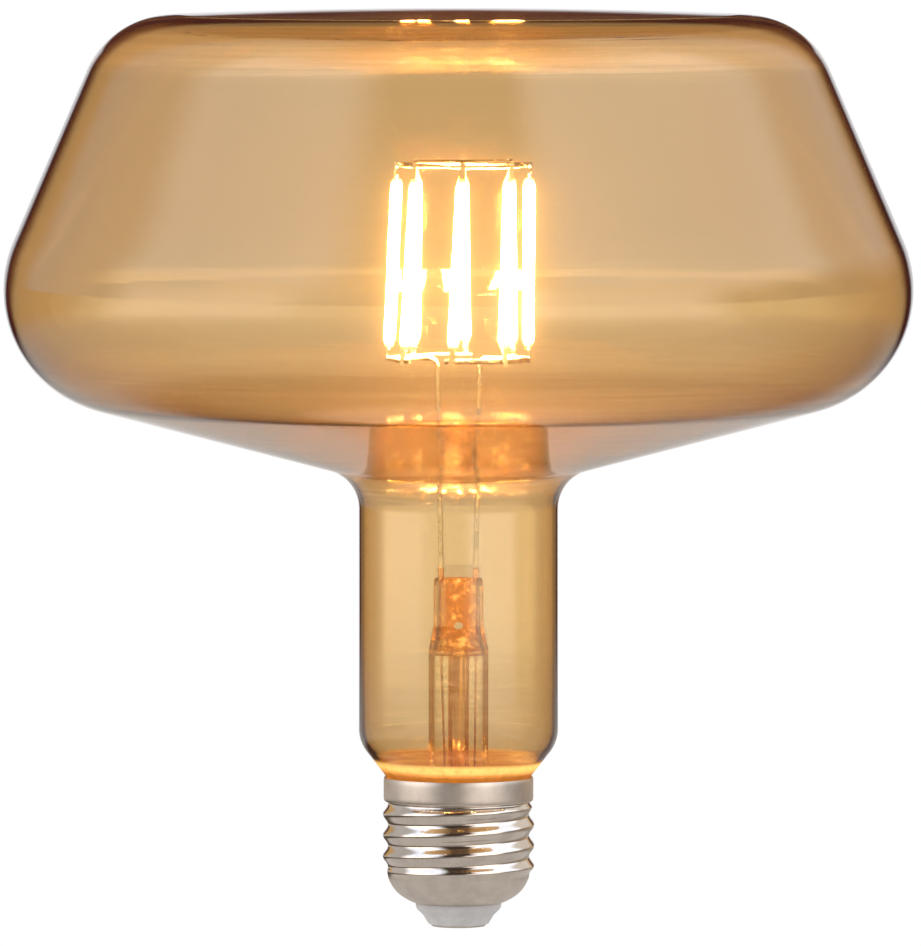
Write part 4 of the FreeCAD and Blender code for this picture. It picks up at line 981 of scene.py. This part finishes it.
@dataclass
class Studio:
    """A white floor and backdrop, two soft boxes and the camera, in metres and degrees.

    The eye sees white all round the bulb. Reflections see a studio: boxes and cards at the sides, a backdrop
    that is bright straight behind the bulb, and a floor that is paper near it and runs into the backdrop.
    A reflection whose light went through more glass faces than inside_wall comes from the inside of the
    envelope, and one with more than inside_stem comes from the stem or the envelope's far side.
    """

    glows: tuple[Glow, ...] = (
        Glow((-140.0, -28.0), (-30.0, 70.0), 14.0, (0.62, 0.62, 0.62)),
        Glow((22.0, 150.0), (8.0, 70.0), 14.0, (0.90, 0.86, 0.80)),
        Glow((-98.0, -36.0), (14.0, 58.0), 18.0, (1.5, 1.7, 2.05)),
        Glow((26.0, 112.0), (12.0, 58.0), 18.0, (1.65, 1.85, 2.1)),
        Glow((-94.0, -42.0), (-30.0, 14.0), 18.0, (2.5, 2.3, 2.05)),
        Glow((12.0, 68.0), (-30.0, 14.0), 18.0, (2.5, 2.3, 2.05)),
        Glow((84.0, 128.0), (-30.0, 10.0), 18.0, (0.30, 0.23, 0.18)),
    )
    dim: Colour = (0.07, 0.055, 0.045)
    sliver: Colour = (0.86, 0.85, 0.87)
    # Painted shade and light: edge is a dark maroon that reflections of the backdrop take so that the
    # glass's rims show dark. Gold and deep are painted amber light, seen off to the side and through the
    # glass.
    edge: Colour = (0.085, 0.028, 0.024)
    gold: Colour = (0.66, 0.44, 0.19)
    deep: Colour = (0.62, 0.40, 0.19)
    veil: Colour = (4.4, 5.0, 5.0)
    paper: Colour = (0.62, 0.60, 0.57)
    card: Colour = (0.27, 0.22, 0.19)
    card_turn: Pair = (82.0, 140.0)
    card_soft: float = 30.0
    shades: tuple[Colour, Colour] = ((0.12, 0.09, 0.065), (0.42, 0.38, 0.33))
    shade_turn: Pair = (-40.0, 40.0)
    first_edge: Pair = (12.0, 18.0)
    first_gold: Pair = (22.0, 31.0)
    above_edge: Pair = (0.5, 2.5)
    lift_share: float = 0.45
    later_edge: Pair = (7.0, 12.0)
    later_gold: Pair = (24.0, 38.0)
    rear_turn: Pair = (60.0, 84.0)
    near_floor: Pair = (0.035, 0.055)
    middle_floor: Pair = (0.09, 0.16)
    far_floor: Pair = (0.27, 0.85)
    inside_wall: float = 0.5
    inside_stem: float = 3.5
    distance: float = 2.0
    camera_height: float = 0.193
    aim: Pair = (0.000345, 0.0784)
    picture_height: float = 0.1632
    sensor: float = 36.0
    floor_size: float = 60.0
    floor_drop: float = 0.00002
    box_size: Pair = (1.2, 1.5)
    box_distance: float = 1.7
    box_turn: float = 66.0
    box_rise: float = 34.0
    box_radiance: float = 3.0
    box_colour: Colour = (1.0, 0.98, 0.95)
    glare: tuple[tuple[str, object], ...] = (
        ("Threshold", 1.3),
        ("Maximum", 9.0),
        ("Clamp", True),
        ("Strength", 0.36),
        ("Tint", (1.0, 0.72, 0.34, 1.0)),
        ("Size", 0.5),
    )

    def bearings(self, graph: Graph, vector: object) -> tuple[Socket, ...]:
        """Which way a direction or a spot on the floor lies from the bulb.

        Args:
            graph: the graph of the floor or the world.
            vector: the direction or spot.

        Returns:
            Degrees to the right of the camera's side, and degrees above level.
        """
        apart = graph.feed(graph.add("SeparateXYZ"), in0=vector)
        turn = graph.math("ARCTAN2", apart.outputs[0], graph.math("MULTIPLY", apart.outputs[1], -1.0))
        rise = graph.math("ARCSINE", apart.outputs[2])
        return graph.math("DEGREES", turn), graph.math("DEGREES", rise)

    def light_path(self, graph: Graph, seen: object, mirrored: object) -> Socket:
        """White for the eye and straight through glass, and the studio in every reflection.

        Args:
            graph: the graph of the floor or the world.
            seen: the shader that is seen straight on.
            mirrored: the shader that reflections see.

        Returns:
            The mixed shader's output.
        """
        reflections = graph.add("LightPath").outputs[Count.REFLECTIONS.value]
        mirrors = graph.math("GREATER_THAN", reflections, 0.5)
        node = graph.feed(graph.add("MixShader"), in0=mirrors, in1=seen, in2=mirrored)
        return node.outputs[0]

    def refracted(self, graph: Graph, count: float) -> Socket:
        """One for light that went through more glass faces than the count, and nothing for the rest."""
        faces = graph.add("LightPath").outputs[Count.REFRACTIONS.value]
        return graph.math("GREATER_THAN", faces, count)

    def behind(self, graph: Graph, off: object, lift: object) -> Socket:
        """The backdrop as reflections see it: bright straight behind, a painted dark edge as shade for the
        glass's rims, and painted amber gold beyond that.

        Args:
            graph: the graph of the floor or the world.
            off: degrees away from straight behind the bulb.
            lift: degrees above level, less a share of the degrees to the side.

        Returns:
            Its colour.
        """
        first = graph.math("MAXIMUM", graph.fade(off, *self.first_edge), graph.fade(lift, *self.above_edge))
        first = graph.blend(first, self.sliver, self.edge)
        first = graph.blend(graph.fade(off, *self.first_gold), first, self.gold)
        later = graph.blend(graph.fade(off, *self.later_edge), self.sliver, self.edge)
        later = graph.blend(graph.fade(off, *self.later_gold), later, self.gold)
        later = graph.blend(self.refracted(graph, self.inside_stem), later, self.deep)
        return graph.blend(self.refracted(graph, self.inside_wall), first, later)

    def light_up(self, graph: Graph, room: object, turn: object, rise: object) -> Socket:
        """Set the lit and dark parts of the studio into the room.

        Args:
            graph: the graph of the floor or the world.
            room: the room's colour.
            turn: degrees to the right of the camera's side.
            rise: degrees above level, as an output or a number.

        Returns:
            The lit room's colour.
        """
        for glow in self.glows:
            across = graph.zone(turn, glow.turn, glow.soft)
            upright = graph.zone(rise, glow.rise, glow.soft)
            room = graph.blend(graph.math("MULTIPLY", across, upright), room, glow.colour)
        return room

    def floor_colour(self, graph: Graph, place: object) -> Socket:
        """The floor as reflections see it.

        Args:
            graph: the floor's graph.
            place: the spot on the floor.

        Returns:
            Its colour.
        """
        turn = self.bearings(graph, place)[0]
        off = graph.math("SUBTRACT", 180.0, graph.math("ABSOLUTE", turn))
        reach = graph.add("VectorMath", operation="LENGTH")
        graph.feed(reach, in0=place)
        far = reach.outputs["Value"]
        rear = graph.spread(off, *self.rear_turn, 1.0, 0.0)
        through_glass = self.refracted(graph, self.inside_wall)
        ahead = graph.blend(through_glass, self.light_up(graph, self.dim, turn, 0.0), self.veil)
        distant = graph.blend(rear, ahead, self.behind(graph, off, 0.0))
        shade = graph.blend(graph.fade(turn, *self.shade_turn), *self.shades)
        under = graph.blend(graph.fade(far, *self.near_floor), self.paper, shade)
        card = graph.blend(graph.zone(turn, self.card_turn, self.card_soft), self.paper, self.card)
        under = graph.blend(graph.fade(far, *self.middle_floor), under, card)
        # Painted shade and light: the floor behind the bulb, seen through the glass, takes the dark edge
        # colour. Seen through the stem, it takes the amber deep colour instead.
        hidden = graph.blend(self.refracted(graph, self.inside_stem), self.edge, self.deep)
        under = graph.blend(graph.math("MULTIPLY", rear, through_glass), under, hidden)
        return graph.blend(graph.fade(far, *self.far_floor), under, distant)

    def lay_floor(self) -> None:
        """A wide white floor that runs back into the backdrop, just under the bulb's contact."""
        half = self.floor_size / 2
        square = [(-half, -half, 0), (half, -half, 0), (half, half, 0), (-half, half, 0)]
        mesh = bpy.data.meshes.new("studio_floor")
        mesh.from_pydata(square, [], [(0, 1, 2, 3)])
        material = bpy.data.materials.new("studio_white")
        material.use_nodes = True
        graph = Graph(material.node_tree)
        output = graph.add("OutputMaterial")
        place = graph.place()
        tone = graph.spread(graph.grain(place, 1.5, 2.0), 0.3, 0.7, 1.0, 1.03)
        seen = graph.feed(graph.add("Emission"), Strength=tone)
        mirrored = graph.feed(graph.add("Emission"), Color=self.floor_colour(graph, place))
        graph.feed(output, Surface=self.light_path(graph, seen.outputs[0], mirrored.outputs[0]))
        mesh.materials.append(material)
        floor = bpy.data.objects.new("studio_floor", mesh)
        bpy.context.scene.collection.objects.link(floor)
        floor.location.z = -self.floor_drop

    def paint_world(self) -> None:
        """The room round the floor: white where it is seen, and a studio with soft boxes in reflections."""
        world = bpy.data.worlds.new("studio_room")
        world.use_nodes = True
        bpy.context.scene.world = world
        graph = Graph(world.node_tree)
        output = graph.add("OutputWorld")
        seen = graph.add("Background")
        seen.inputs["Color"].default_value = (*WHITE, 1.0)
        seen.inputs["Strength"].default_value = 1.0
        direction = graph.add("TexCoord").outputs["Generated"]
        turn, rise = self.bearings(graph, direction)
        straight = graph.feed(graph.add("SeparateXYZ"), in0=direction).outputs[1]
        off = graph.math("DEGREES", graph.math("ARCCOSINE", straight))
        beside = graph.math("SUBTRACT", 180.0, graph.math("ABSOLUTE", turn))
        lift = graph.math("SUBTRACT", rise, graph.math("MULTIPLY", beside, self.lift_share))
        rear = graph.spread(off, *self.rear_turn, 1.0, 0.0)
        room = graph.blend(rear, self.dim, self.behind(graph, off, lift))
        mirrored = graph.feed(graph.add("Background"), Color=self.light_up(graph, room, turn, rise))
        graph.feed(output, Surface=self.light_path(graph, seen.outputs[0], mirrored.outputs[0]))

    def hang_soft_box(self, side: Side) -> None:
        """A large soft box in front, on one side and above.

        Args:
            side: which side it hangs on.
        """
        turn = math.radians(self.box_turn) * side.value
        rise = math.radians(self.box_rise)
        away = Vector((math.sin(turn) * math.cos(rise), -math.cos(turn) * math.cos(rise), math.sin(rise)))
        light = bpy.data.lights.new("soft_box_" + side.name.lower(), "AREA")
        light.shape = "RECTANGLE"
        light.size, light.size_y = self.box_size
        light.energy = self.box_radiance * math.pi * light.size * light.size_y
        light.color = self.box_colour
        lamp = bpy.data.objects.new(light.name, light)
        lamp.location = away * self.box_distance + Vector((0, 0, self.aim[1]))
        lamp.rotation_mode = "QUATERNION"
        lamp.rotation_quaternion = away.to_track_quat("Z", "Y")
        for ray in ("camera", "transmission", "glossy"):
            setattr(lamp, "visible_" + ray, False)
        bpy.context.scene.collection.objects.link(lamp)

    def set_camera(self) -> None:
        """The camera at the photograph's height and distance, aimed at the middle of its frame."""
        data = bpy.data.cameras.new("studio_camera")
        data.sensor_width = self.sensor
        camera = bpy.data.objects.new("studio_camera", data)
        camera.location = (0.0, -self.distance, self.camera_height)
        target = Vector((self.aim[0], 0.0, self.aim[1]))
        look = target - camera.location
        data.lens = self.sensor * look.length / self.picture_height
        data.clip_start, data.clip_end = 0.05, 200.0
        camera.rotation_mode = "QUATERNION"
        camera.rotation_quaternion = look.to_track_quat("-Z", "Y")
        bpy.context.scene.collection.objects.link(camera)
        bpy.context.scene.camera = camera

    def set_glow(self) -> None:
        """Straight colours, enough bounces for nested glass, and the lens's glow round the lit coats."""
        scene = bpy.context.scene
        scene.view_settings.view_transform = "Standard"
        scene.cycles.max_bounces = 16
        scene.cycles.transmission_bounces = 14
        scene.cycles.glossy_bounces = 5
        scene.cycles.diffuse_bounces = 2
        scene.cycles.sample_clamp_indirect = 80.0
        scene.use_nodes = True
        tree = scene.node_tree
        tree.nodes.clear()
        picture = tree.nodes.new("CompositorNodeRLayers")
        glare = tree.nodes.new("CompositorNodeGlare")
        glare.glare_type = "BLOOM"
        for name, value in self.glare:
            glare.inputs[name].default_value = value
        result = tree.nodes.new("CompositorNodeComposite")
        tree.links.new(picture.outputs["Image"], glare.inputs["Image"])
        tree.links.new(glare.outputs["Image"], result.inputs["Image"])

    def build(self) -> None:
        """Set the whole studio."""
        self.lay_floor()
        self.paint_world()
        for side in Side:
            self.hang_soft_box(side)
        self.set_camera()
        self.set_glow()
        LOG.info("studio: floor, room, %d soft boxes and camera", len(Side))


def main() -> None:
    """Load the model, set the studio and build each sub-assembly in order."""
    logging.basicConfig(level=logging.INFO, format="%(message)s")
    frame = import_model()
    shop = Workshop(frame)
    Studio().build()
    for assembly in (BlownGlass(), StemMount(), FilamentCage(), ScrewCap(), Driver()):
        assembly.build(shop)


if __name__ == "__main__":
    main()
